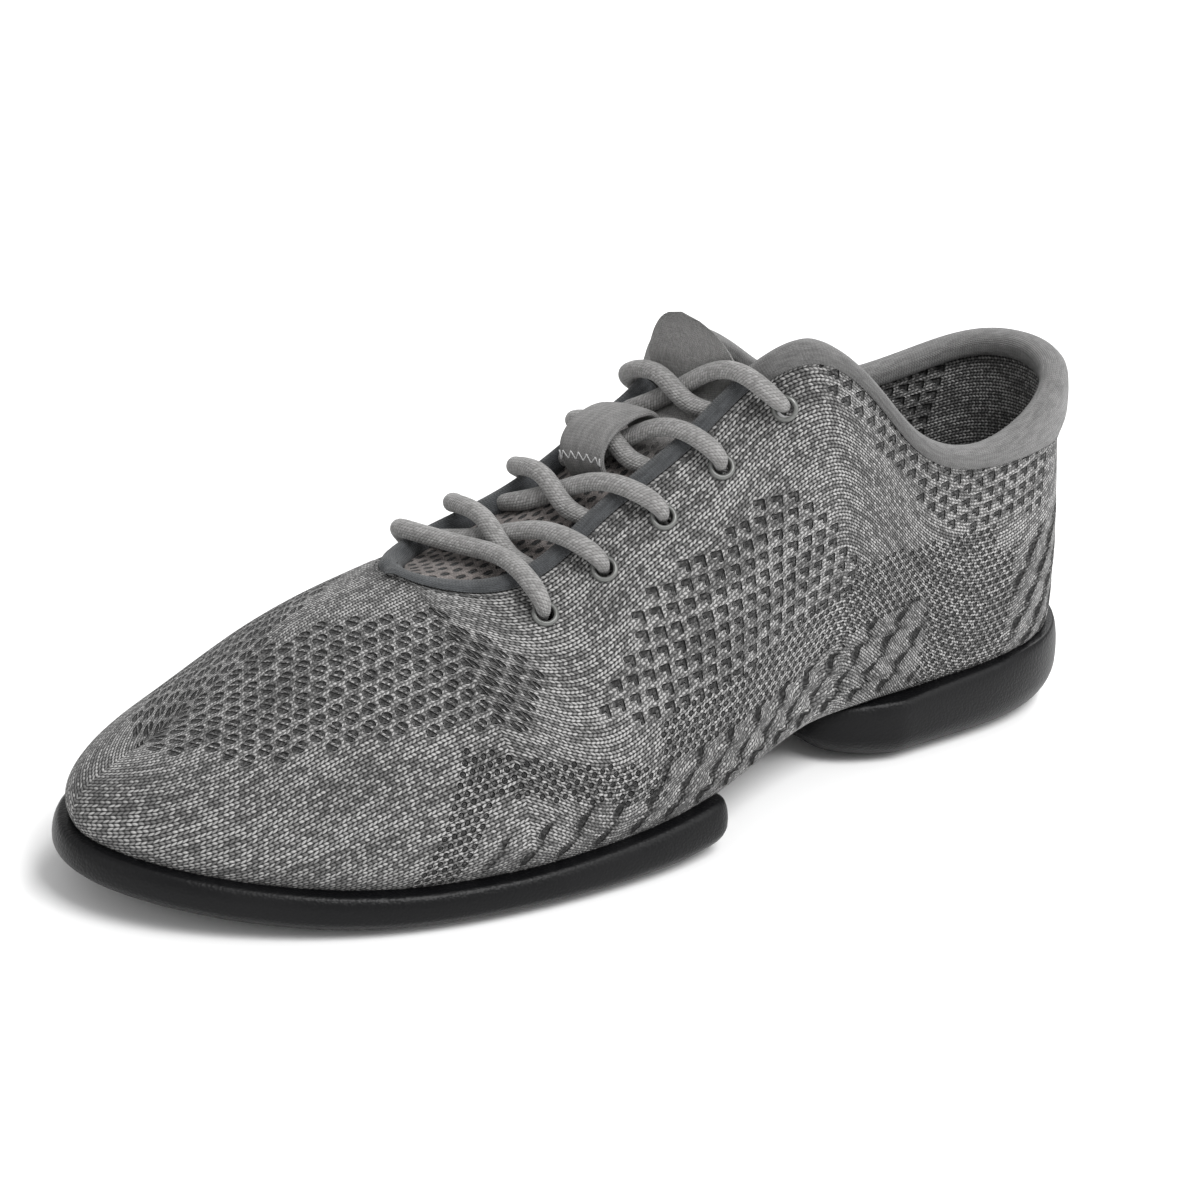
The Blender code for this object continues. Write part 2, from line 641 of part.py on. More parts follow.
def build_tongue(throat, finish):
    """Padded tongue from under the vamp, through the gap at the top to its free end."""
    shares = [-1, -0.76, -0.52, -0.27, 0, 0.27, 0.52, 0.76, 1]
    rows = [(11.5, 0.87), (11.0, 0.91), (10.5, 1.0), (10.0, 1.0), (9.5, 1.0), (9.0, 1.0), (8.5, 1.0),
            (8.0, 0.94), (7.75, 0.78), (7.5, 0.58), (7.25, 0.43)]
    rings = []
    for row, width in rows:
        pairs = [throat.tongue(row, share * width * TONGUE_HALF_WIDTH) for share in shares]
        rings.append([p for p, _ in pairs] + [p - n * TONGUE_THICKNESS for p, n in reversed(pairs)])
    root = np.array(rings[-1])
    centre = root[len(shares) // 2]
    rise = unit(np.array([TONGUE_TILT, 0, 1]))
    for share, narrow in ((0.3, 0.98), (0.6, 0.94), (0.85, 0.82), (0.96, 0.62), (1.0, 0.35)):
        rings.append(list(centre + (root - centre) * narrow + rise * TONGUE_RISE * share))
    return loft("tongue", rings, finish)


def binding_path(outside, inside, thick):
    """Cross-section of a binding folded over the rim, as (distance below the rim, height off the wall)."""
    foot_in = -WALL - BINDING_GAP if inside else -WALL * 0.7
    path = [(outside, BINDING_GAP), (outside * 0.5, BINDING_GAP), (-GAP, BINDING_GAP), (-GAP, foot_in)]
    skin = [(outside, BINDING_GAP + thick * 0.5), (outside * 0.55, BINDING_GAP + thick), (0.0, GAP + thick),
            (-GAP - thick * 0.75, GAP + thick * 0.5), (-GAP - thick, -WALL * 0.35)]
    if inside:
        path += [(inside, foot_in)]
        skin += [(-GAP - thick * 0.7, foot_in - thick * 0.6), (0.2 * inside, foot_in - thick),
                 (inside, foot_in - thick * 0.6)]
    else:
        skin += [(-GAP - thick * 0.75, foot_in)]
    return path + skin[::-1]


def build_bindings(last, fabric, roll):
    """Padded collar binding with the heel crescent, and the roll round the throat."""
    rows = [row for row in section_rows() if row <= COLLAR_ROW]
    rings = []
    for side, row in [(1, r) for r in rows[::-1]] + [(-1, r) for r in rows[1:]]:
        share = max(0.0, 1 - row / 3.2)
        swell = share * share * (3 - 2 * share)
        path = binding_path(BINDING_DEPTH + (CRESCENT_DEPTH - BINDING_DEPTH) * swell,
                            BINDING_DEPTH, BINDING_THICKNESS + CRESCENT_EXTRA * swell)
        ring = []
        for distance, offset in path:
            point, normal = last.below_top(side, row, distance)
            ring.append(point + normal * offset)
        rings.append(ring)
    loft("collar_binding", rings, fabric)
    rows = [COLLAR_ROW + SEAM] + [row for row in section_rows() if COLLAR_ROW < row <= THROAT_ROW]
    path = binding_path(BINDING_DEPTH * 0.7, 0, BINDING_THICKNESS * 0.9)
    rings = []
    for side, row in both_sides(rows):
        edge, normal, inward = last.rim(side, row)
        rings.append([edge + inward * distance + normal * offset
                      for distance, offset in path])
    loft("throat_binding", rings, roll)


class Eyelet:
    """Place of one eyelet on the wall."""

    def __init__(self, last, upper, side, index):
        share = FIRST_EYELET + (LAST_EYELET - FIRST_EYELET) * index / (EYELET_COUNT - 1)
        share += MEDIAL_SHIFT if side < 0 else 0
        self.side = side
        self.row = last.row_at(side, along(share), EYELET_INSET, COLLAR_ROW - 1.5, THROAT_ROW)
        point = last.below_top(side, self.row, EYELET_INSET)[0]
        _, place, normal, _ = upper.closest_point_on_mesh(Vector(point))
        self.point, self.normal = np.array(place), np.array(normal)
        self.edge, self.edge_normal = last.below_top(side, self.row, 0)

    def turn(self):
        return Vector(self.normal).to_track_quat("Z", "Y").to_matrix().to_4x4()


def turned_mesh(name, profile):
    """Closed ring turned round +Z from (radius, height) pairs."""
    points, faces = [], []
    for k in range(TURN_SIDES):
        a = 2 * math.pi * k / TURN_SIDES
        points += [(r * math.cos(a), r * math.sin(a), z) for r, z in profile]
    size = len(profile)
    for k in range(TURN_SIDES):
        here, there = k * size, (k + 1) % TURN_SIDES * size
        faces += [(here + i, there + i, there + (i + 1) % size, here + (i + 1) % size) for i in range(size)]
    mesh = bpy.data.meshes.new(name)
    mesh.from_pydata(points, [], faces)
    work = bmesh.new()
    work.from_mesh(mesh)
    bmesh.ops.recalc_face_normals(work, faces=work.faces)
    work.to_mesh(mesh)
    work.free()
    mesh.shade_smooth()
    mesh.set_sharp_from_angle(angle=math.radians(40))
    return mesh


def build_eyelets(eyelets, upper, finish):
    """Pressed rings seated in holes through the upper."""
    mesh = turned_mesh("eyelet", (
        (EYELET_HOLE, -WALL), (EYELET_BARREL, -WALL), (EYELET_BARREL, EYELET_SEAT), (EYELET_OUTER, EYELET_SEAT),
        (EYELET_BARREL, EYELET_HEIGHT), (EYELET_HOLE, EYELET_SEAT + 0.0002)))
    mesh.materials.append(finish)
    for side, word in ((1, "lateral"), (-1, "medial")):
        for number, eyelet in enumerate(eyelets[side], 1):
            place = Matrix.Translation(eyelet.point) @ eyelet.turn()
            made = bpy.data.objects.new(f"eyelet_{word}_{number}", mesh)
            made.matrix_world = place
            bpy.context.scene.collection.objects.link(made)
            bpy.ops.mesh.primitive_cylinder_add(vertices=TURN_SIDES, radius=EYELET_BARREL + GAP, depth=6 * WALL)
            cutter = bpy.context.object
            cutter.name = f"hole_{word}_{number}"
            cutter.matrix_world = place
            cutter.hide_render = True
            cutter.display_type = "WIRE"
            cut = upper.modifiers.new(cutter.name, "BOOLEAN")
            cut.operation = "DIFFERENCE"
            cut.object = cutter


def tube(name, knots, finish):
    """Lace strand through hand-set places, one smooth curve with flat ends."""
    curve = Spline(knots, False, 3)
    places = np.linspace(0, len(knots) - 1, 3 * (len(knots) - 1) + 1)
    rings = []
    side = None
    for place in places:
        centre = curve.at(place)
        run = unit(curve.slope(min(max(place, 0.002), len(knots) - 1.002)))
        reference = np.array([1.0, 0, 0]) if side is None else side
        side = unit(reference - run * np.dot(reference, run))
        other = np.cross(run, side)
        turns = [2 * math.pi * k / TUBE_SIDES for k in range(TUBE_SIDES)]
        rings.append([centre + LACE_DIAMETER / 2 * (side * math.cos(a) + other * math.sin(a)) for a in turns])
    return loft(name, rings, finish)


def build_laces(throat, eyelets, finish):
    """The bar over the first eyelets and a joined crossing for each pair after it."""
    radius = LACE_DIAMETER / 2
    over_eyelet = EYELET_HEIGHT + GAP + radius
    over_edge = GAP + BINDING_THICKNESS + 3 * GAP + radius

    def from_eyelet(eyelet):
        return [eyelet.point + eyelet.normal * over_eyelet, eyelet.edge + eyelet.edge_normal * over_edge]

    first = [from_eyelet(eyelets[side][0]) for side in (1, -1)]
    middle = (first[0][1] + first[1][1]) / 2 + np.array([0, 0, radius * 0.6])
    tube("lace_bar_1", first[0] + [middle] + first[1][::-1], finish)
    for index in range(1, EYELET_COUNT):
        pair = [(eyelets[side][index], eyelets[-side][index - 1]) for side in (1, -1)]
        rows = [near.row for near, _ in pair] + [far.row for _, far in pair]
        crossing, normal = throat.tongue(sum(rows) / 4, 0)
        centre = crossing + normal * (radius + WALL + GAP)
        strands = []
        for number, (near, far) in enumerate(pair):
            row = far.row + (near.row - far.row) * 0.42
            lateral, medial, _, _ = throat.row_pair(row)
            half = np.linalg.norm(lateral - medial) / 2
            end, up = throat.tongue(row, far.side * (half - 0.0065))
            knots = from_eyelet(near) + [centre, end + up * (radius + 3 * GAP)]
            name = f"lace_cross_{index + 1}"
            strands.append(tube(name if number == 0 else name + "_other", knots, finish))
        strands[1].hide_render = True
        strands[1].display_type = "WIRE"
        join = strands[0].modifiers.new("join", "BOOLEAN")
        join.operation = "UNION"
        join.object = strands[1]


def build_tongue_loop(throat, eyelets, finish):
    """Keeper loop: a strap that arches over the fourth crossing, both ends on the tongue."""
    rows = [eyelets[side][index].row for side in (1, -1) for index in (2, 3)]
    middle = sum(rows) / 4
    pace = np.linalg.norm(throat.tongue(middle + 0.5, 0)[0] - throat.tongue(middle - 0.5, 0)[0])
    clear = WALL + LACE_DIAMETER + 14 * GAP
    path = ((-1.0, 0.0), (-0.98, 0.42), (-0.84, 0.80), (-0.45, 1.0), (0.45, 1.0), (0.84, 0.80), (0.98, 0.42),
            (1.0, 0.0))
    rings = []
    for share in (-0.5, -0.17, 0.17, 0.5):
        under, over = [], []
        for shift, height in path:
            for run, grow in ((under, 0), (over, LOOP_THICKNESS)):
                reach = shift * (LOOP_REACH + grow) / pace
                point, normal = throat.tongue(middle + reach, share * LOOP_WIDTH)
                run.append(point + normal * (2 * GAP + (clear + grow) * height))
        rings.append(under + over[::-1])
    loft("tongue_loop", rings, finish)


def main():
    for item in list(bpy.data.objects):
        bpy.data.objects.remove(item, do_unlink=True)
    knit = material("knit", (0.16, 0.16, 0.16), 0.9)
    rubber = material("rubber", (0.012, 0.012, 0.013), 0.45)
    foam = material("footbed", (0.05, 0.05, 0.05), 0.9)
    tape = material("tape", (0.12, 0.12, 0.115), 0.85)
    jersey = material("binding", (0.17, 0.17, 0.165), 0.85)
    roll = material("throat_roll", (0.09, 0.10, 0.11), 0.85)
    cord = material("lace", (0.30, 0.30, 0.29), 0.85)
    metal = material("painted_metal", (0.28, 0.28, 0.26), 0.4, 0.3)

    last = Last()
    throat = Throat(last)
    upper = build_upper(last, knit)
    eyelets = {side: [Eyelet(last, upper, side, i) for i in range(EYELET_COUNT)] for side in (1, -1)}
    build_pad(last, "forefoot_sole", FOREFOOT, True, rubber)
    build_pad(last, "heel_sole", HEEL, False, rubber)
    build_tape(tape)
    build_insole(last, foam)
    build_tongue(throat, knit)
    build_bindings(last, jersey, roll)
    build_eyelets(eyelets, upper, metal)
    build_laces(throat, eyelets, cord)
    build_tongue_loop(throat, eyelets, jersey)


main()
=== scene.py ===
"""Dance sneaker, left shoe: the knitted upper, rubber pads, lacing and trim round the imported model."""
from __future__ import annotations

import logging
import math
from collections import namedtuple
from collections.abc import Iterable, Sequence
from dataclasses import dataclass, field
from enum import Enum

import bmesh
import bpy
import numpy as np
from mathutils import Matrix, Vector

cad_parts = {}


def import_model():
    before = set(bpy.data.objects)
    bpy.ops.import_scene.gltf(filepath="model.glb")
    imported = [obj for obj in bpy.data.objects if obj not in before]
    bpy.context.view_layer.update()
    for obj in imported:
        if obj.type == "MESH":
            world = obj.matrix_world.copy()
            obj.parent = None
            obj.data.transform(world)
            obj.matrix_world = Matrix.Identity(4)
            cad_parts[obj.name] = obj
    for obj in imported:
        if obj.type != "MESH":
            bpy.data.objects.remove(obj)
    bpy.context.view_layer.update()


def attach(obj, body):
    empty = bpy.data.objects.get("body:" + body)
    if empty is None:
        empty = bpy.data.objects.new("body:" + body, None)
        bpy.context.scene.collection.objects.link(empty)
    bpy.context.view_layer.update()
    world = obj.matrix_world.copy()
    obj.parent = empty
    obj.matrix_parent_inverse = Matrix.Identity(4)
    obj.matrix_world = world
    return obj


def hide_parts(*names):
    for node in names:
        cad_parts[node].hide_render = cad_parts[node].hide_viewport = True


LOG = logging.getLogger("sneaker")
Array = np.ndarray

# Driving sizes of the whole shoe
LENGTH = 0.280
BALL_WIDTH = 0.104
HEEL_STACK = 0.0150
TOE_HEIGHT = 0.0455
INSTEP_HEIGHT = 0.0665
COLLAR_HEIGHT = 0.1145
ANKLE_HEIGHT = 0.080
HEEL_HEIGHT = 0.091

# Walls, gaps and edges
GAP = 0.0003
WALL = 0.0022
CORNER_RADIUS = 0.0088
FLANGE = 0.0125
TAPE_WIDTH = 0.0145
TAPE_THICKNESS = 0.0016
INSOLE_THICKNESS = 0.0030
SOLE_LIP = 0.0030
LIP_CROWN = 0.0022
EDGE_ROUND = 0.0095

# Tread: a dimple and two turning rings round the pivot of each pad
GROOVE_WIDTH = 0.0018
GROOVE_DEPTH = 0.0008
DIMPLE_RADIUS = 0.0057
DIMPLE_DEPTH = 0.0022
INNER_RING = 0.0140
OUTER_RING = 0.0203

# Tongue, loop and bindings
TONGUE_THICKNESS = 0.0030
TONGUE_HALF_WIDTH = 0.0230
TONGUE_CROWN = 0.0022
TONGUE_RISE = 0.0175
TONGUE_TILT = -0.10
LOOP_WIDTH = 0.0098
LOOP_THICKNESS = 0.0013
LOOP_REACH = 0.0079
BINDING_THICKNESS = 0.0014
BINDING_DEPTH = 0.0040
BINDING_GAP = 0.00045
CRESCENT_DEPTH = 0.0180
CRESCENT_EXTRA = 0.0009

# Lacing
EYELET_OUTER = 0.00325
EYELET_HOLE = 0.00200
EYELET_BARREL = 0.00245
EYELET_SEAT = 0.00060
EYELET_INSET = 0.0115
EYELET_COUNT = 5
FIRST_EYELET = 0.6095
LAST_EYELET = 0.3755
MEDIAL_SHIFT = 0.0330
LACE_DIAMETER = 0.0046

UPPER_LENGTH = LENGTH - 2 * (SOLE_LIP + GAP)
HALF_BALL = BALL_WIDTH / 2 - SOLE_LIP - GAP
HEEL_X = -UPPER_LENGTH / 2
HEIGHTS = {
    "toe": TOE_HEIGHT,
    "instep": INSTEP_HEIGHT,
    "collar": COLLAR_HEIGHT,
    "ankle": ANKLE_HEIGHT,
    "heel": HEEL_HEIGHT,
}

# The foot of the upper, a row for each section from the heel back to the toe tip. along is a share of the
# upper's length, lateral and medial of half its ball width. lean is the wall's outward lean at the foot in
# degrees. The pulls are the wall curve's handles as shares of its chord. lip is the pad's lip as a share of
# the corner radius, and arch says how far the underside reaches in to the tape.
Foot = namedtuple("Foot", "name along lateral medial lean foot_pull top_pull lip arch")
FEET = (
    Foot("heel_back", 0.0000, 0.000, 0.000, 1, 0.36, 0.34, 0.74, 0.0),
    Foot("heel_corner", 0.0280, 0.370, -0.370, 1, 0.36, 0.34, 0.72, 0.0),
    Foot("heel_side", 0.0790, 0.540, -0.540, 3, 0.36, 0.34, 0.66, 0.0),
    Foot("heel_middle", 0.1450, 0.598, -0.595, 5, 0.36, 0.34, 0.52, 0.0),
    Foot("breast", 0.2080, 0.608, -0.598, 6, 0.35, 0.34, 0.36, 0.2),
    Foot("shank_rear", 0.2660, 0.622, -0.588, 6, 0.34, 0.33, 0.20, 0.9),
    Foot("shank", 0.3260, 0.668, -0.582, 6, 0.33, 0.32, 0.20, 1.0),
    Foot("waist_rear", 0.3840, 0.772, -0.598, 6, 0.33, 0.31, 0.26, 1.0),
    Foot("waist", 0.4420, 0.890, -0.645, 7, 0.33, 0.31, 0.34, 1.0),
    Foot("waist_front", 0.5150, 0.990, -0.742, 9, 0.33, 0.31, 0.42, 0.9),
    Foot("ball_rear", 0.5960, 1.016, -0.872, 10, 0.33, 0.31, 0.42, 0.2),
    Foot("ball", 0.6760, 0.992, -0.962, 10, 0.31, 0.30, 0.40, 0.0),
    Foot("ball_front", 0.7560, 0.920, -0.996, 10, 0.30, 0.29, 0.40, 0.0),
    Foot("toe_shoulder", 0.8340, 0.775, -0.925, 9, 0.29, 0.28, 0.42, 0.0),
    Foot("toe_side", 0.9040, 0.565, -0.770, 8, 0.29, 0.28, 0.44, 0.0),
    Foot("toe_corner", 0.9640, 0.295, -0.535, 7, 0.30, 0.29, 0.46, 0.0),
    Foot("toe_tip", 1.0000, -0.130, -0.130, 6, 0.31, 0.30, 0.48, 0.0),
)

# The top of each section: the collar and throat edge up to the throat's front, then the ridge of the vamp
# down to the toe, where both sides meet. level names the height that lateral and medial heights are shares
# of, and lean is the wall's inward lean at its top in degrees.
Top = namedtuple("Top", "lateral_along lateral_across medial_along medial_across level lateral_height "
                        "medial_height lean")
TOPS = (
    Top(0.0200, 0.000, 0.0200, 0.000, "heel", 1.000, 1.000, 4),
    Top(0.0430, 0.335, 0.0430, -0.335, "heel", 0.978, 0.978, 5),
    Top(0.0960, 0.510, 0.0960, -0.505, "ankle", 1.045, 1.045, 7),
    Top(0.1650, 0.575, 0.1700, -0.570, "ankle", 1.000, 1.000, 8),
    Top(0.2350, 0.598, 0.2480, -0.585, "ankle", 1.085, 1.050, 9),
    Top(0.3000, 0.585, 0.3260, -0.555, "collar", 0.918, 0.862, 12),
    Top(0.3560, 0.500, 0.3960, -0.460, "collar", 1.008, 0.896, 24),
    Top(0.3910, 0.290, 0.4280, -0.300, "collar", 0.930, 0.850, 50),
    Top(0.4480, 0.262, 0.4780, -0.290, "collar", 0.818, 0.770, 57),
    Top(0.5420, 0.252, 0.5740, -0.290, "instep", 1.170, 1.120, 60),
    Top(0.6340, 0.225, 0.6740, -0.300, "instep", 0.982, 0.990, 66),
    Top(0.7030, -0.080, 0.7030, -0.080, "instep", 1.000, 1.000, 90),
    Top(0.7480, -0.095, 0.7480, -0.095, "instep", 0.942, 0.942, 90),
    Top(0.7980, -0.118, 0.7980, -0.118, "instep", 0.858, 0.858, 90),
    Top(0.8440, -0.142, 0.8440, -0.142, "toe", 1.090, 1.090, 90),
    Top(0.8800, -0.155, 0.8800, -0.155, "toe", 0.965, 0.965, 90),
    Top(0.9050, -0.165, 0.9050, -0.165, "toe", 0.855, 0.855, 90),
)
COLLAR_ROW = 7
THROAT_ROW = 11
LAST_ROW = len(FEET) - 1

# Underside of the upper and ground face of the pads, as shares of the length and of the heel stack
FLOOR = ((0.00, 1.00), (0.27, 1.00), (0.34, 1.02), (0.40, 0.95), (0.46, 0.78), (0.53, 0.60), (0.60, 0.49),
         (0.68, 0.43), (0.76, 0.43), (0.83, 0.48), (0.90, 0.60), (0.96, 0.76), (1.00, 0.87), (1.05, 1.00))
GROUND = ((-0.05, 0.04), (0.00, 0.02), (0.04, 0.00), (0.24, 0.00), (0.29, 0.10), (0.36, 0.34), (0.42, 0.30),
          (0.48, 0.06), (0.54, 0.00), (0.78, 0.00), (0.84, 0.04), (0.91, 0.18), (0.96, 0.33), (1.05, 0.58))

# Each pad: its pivot, and the rows where its edge leaves the upper's outline on either side. rear gives the
# free edge's corners as shares of the length and of half the ball width.
PadPlan = namedtuple("PadPlan", "pivot_along pivot_across lateral_row medial_row corner_lateral "
                                "corner_medial bow")
FOREFOOT = PadPlan(0.722, -0.140, 8.5, 10.0, (0.456, 0.900), (0.558, -0.830), 0.012)
HEEL = PadPlan(0.150, 0.000, 4.5, 4.5, (0.318, 0.580), (0.318, -0.560), 0.010)

# Arc grooves of each pad: radius, and bearing from the toe towards the lateral side where it starts and ends
FOREFOOT_ARCS = tuple((radius, start, end)
                      for start, end, radii in ((-4, 36, (0.0305, 0.0395, 0.0485, 0.0570)),
                                                (52, 91, (0.0305, 0.0395, 0.0485)),
                                                (108.5, 157, (0.0305, 0.0395, 0.0485, 0.0570)),
                                                (170.5, 208.5, (0.0305, 0.0395, 0.0485)))
                      for radius in radii)
HEEL_ARCS = tuple((0.0270, middle - 36, middle + 36) for middle in (5, 95, 185, 275))

# Soft creases: place along the shoe, lean, half width, share of the depth, and where each starts and ends
# up the wall
CREASES = (
    (0.046, -0.55, 0.0060, 0.35, 0.010, 0.048),
    (0.030, -0.60, 0.0055, 0.25, 0.014, 0.046),
    (-0.040, 0.70, 0.0080, 0.35, 0.020, 0.075),
    (-0.070, 0.45, 0.0085, 0.30, 0.018, 0.062),
    (-0.096, 0.20, 0.0070, 0.25, 0.016, 0.052),
    (0.078, -0.35, 0.0070, 0.20, 0.006, 0.030),
)


def unit(vector: Array) -> Array:
    """Vector, or rows of vectors, at length 1."""
    length = np.linalg.norm(vector, axis=-1, keepdims=True)
    return vector / np.maximum(length, 1e-12)


def smooth(value: Array | float) -> Array | float:
    """Soft step from 0 to 1 as the value goes from 0 to 1."""
    value = np.clip(value, 0, 1)
    return value * value * (3 - 2 * value)


def hump(value: Array, middle: float, reach: float) -> Array:
    """Soft bump of height 1 round middle that ends at reach to either side."""
    return smooth(1 - np.abs(value - middle) / reach)


def along(share: float) -> float:
    """Place along the shoe of a share of the upper's length."""
    return HEEL_X + share * UPPER_LENGTH


def across(share: float) -> float:
    """Place across the shoe of a share of half the upper's ball width."""
    return share * HALF_BALL


def hermite(start: Array, end: Array, start_slope: Array, end_slope: Array, step: float, f: float) -> Array:
    """Cubic between two knots that lie a step apart.

    Args:
        start, end: values at the knots.
        start_slope, end_slope: slopes there.
        step: distance between the knots.
        f: share of the way.

    Returns:
        The value at f.
    """
    return (start * (1 + 2 * f) * (1 - f) ** 2 + end * f * f * (3 - 2 * f)
            + step * (start_slope * f * (1 - f) ** 2 - end_slope * f * f * (1 - f)))


def monotone(table: Sequence[tuple[float, float]], share: Array | float) -> Array:
    """Monotone cubic through a table.

    Args:
        table: rows of place and value.
        share: places to read.

    Returns:
        The values at the places.
    """
    places, values = (np.array(column, float) for column in zip(*table))
    steps = np.diff(places)
    rises = np.diff(values) / steps
    slopes = np.zeros(len(places))
    for i in range(1, len(places) - 1):
        if rises[i - 1] * rises[i] > 0:
            first, second = 2 * steps[i] + steps[i - 1], steps[i] + 2 * steps[i - 1]
            slopes[i] = (first + second) / (first / rises[i - 1] + second / rises[i])
    slopes[0], slopes[-1] = rises[0], rises[-1]
    share = np.clip(np.asarray(share, float), places[0], places[-1])
    i = np.minimum(np.searchsorted(places, share, side="right") - 1, len(places) - 2)
    f = (share - places[i]) / steps[i]
    return hermite(values[i], values[i + 1], slopes[i], slopes[i + 1], steps[i], f)


def floor_height(x: Array | float) -> Array:
    """Height of the upper's underside at x."""
    return HEEL_STACK * monotone(FLOOR, (np.asarray(x) - HEEL_X) / UPPER_LENGTH)


def ground_height(x: Array | float) -> Array:
    """Height of the pads' ground face at x."""
    return HEEL_STACK * monotone(GROUND, (np.asarray(x) - HEEL_X) / UPPER_LENGTH)


class Spline:
    """Smooth curve through knots, spaced by their distance in the first columns."""

    def __init__(self, knots: Sequence, closed: bool, measured: int) -> None:
        """Solves the slopes.

        Args:
            knots: rows of values.
            closed: True for a ring.
            measured: how many columns give the distance between knots.
        """
        self.knots = np.array(knots, float)
        self.closed = closed
        count = len(self.knots)
        following = np.roll(self.knots, -1, axis=0) if closed else self.knots[1:]
        here = self.knots if closed else self.knots[:-1]
        self.steps = np.linalg.norm((following - here)[:, :measured], axis=1)
        rises = (following - here) / self.steps[:, None]
        matrix = np.zeros((count, count))
        target = np.zeros_like(self.knots)
        for i in range(count):
            if not closed and i in (0, count - 1):
                matrix[i, i], matrix[i, 1 if i == 0 else count - 2] = 2, 1
                target[i] = 3 * rises[0 if i == 0 else -1]
                continue
            before, after = self.steps[i - 1], self.steps[i]
            matrix[i, i - 1] += after
            matrix[i, i] += 2 * (before + after)
            matrix[i, (i + 1) % count] += before
            target[i] = 3 * (after * rises[i - 1] + before * rises[i])
        self.slopes = np.linalg.solve(matrix, target)

    def at(self, place: float) -> Array:
        """Values at a place counted in knots.

        Args:
            place: whole at the knots.

        Returns:
            One value for each column.
        """
        last = len(self.steps) - (0 if self.closed else 1)
        index = math.floor(place) if self.closed else min(max(math.floor(place), 0), last)
        i, f = index % len(self.steps), place - index
        j = (i + 1) % len(self.knots)
        return hermite(self.knots[i], self.knots[j], self.slopes[i], self.slopes[j], self.steps[i], f)

    def slope(self, place: float) -> Array:
        """Rate of change at a place."""
        return (self.at(place + 0.001) - self.at(place - 0.001)) / 0.002

    def run(self, spacing: float) -> Array:
        """Points at about an even spacing along the whole curve."""
        fine = np.array([self.at(p) for p in np.linspace(0, len(self.steps), 24 * len(self.steps) + 1)])
        return even(fine, spacing)


def even(points: Array, spacing: float) -> Array:
    """A line's points again, at an even spacing.

    Args:
        points: rows that start with x, y and z.
        spacing: metres between points.

    Returns:
        The new rows.
    """
    lengths = np.concatenate([[0], np.cumsum(np.linalg.norm(np.diff(points[:, :3], axis=0), axis=1))])
    places = np.linspace(0, lengths[-1], max(3, round(lengths[-1] / spacing) + 1))
    return np.stack([np.interp(places, lengths, points[:, k]) for k in range(points.shape[1])], 1)


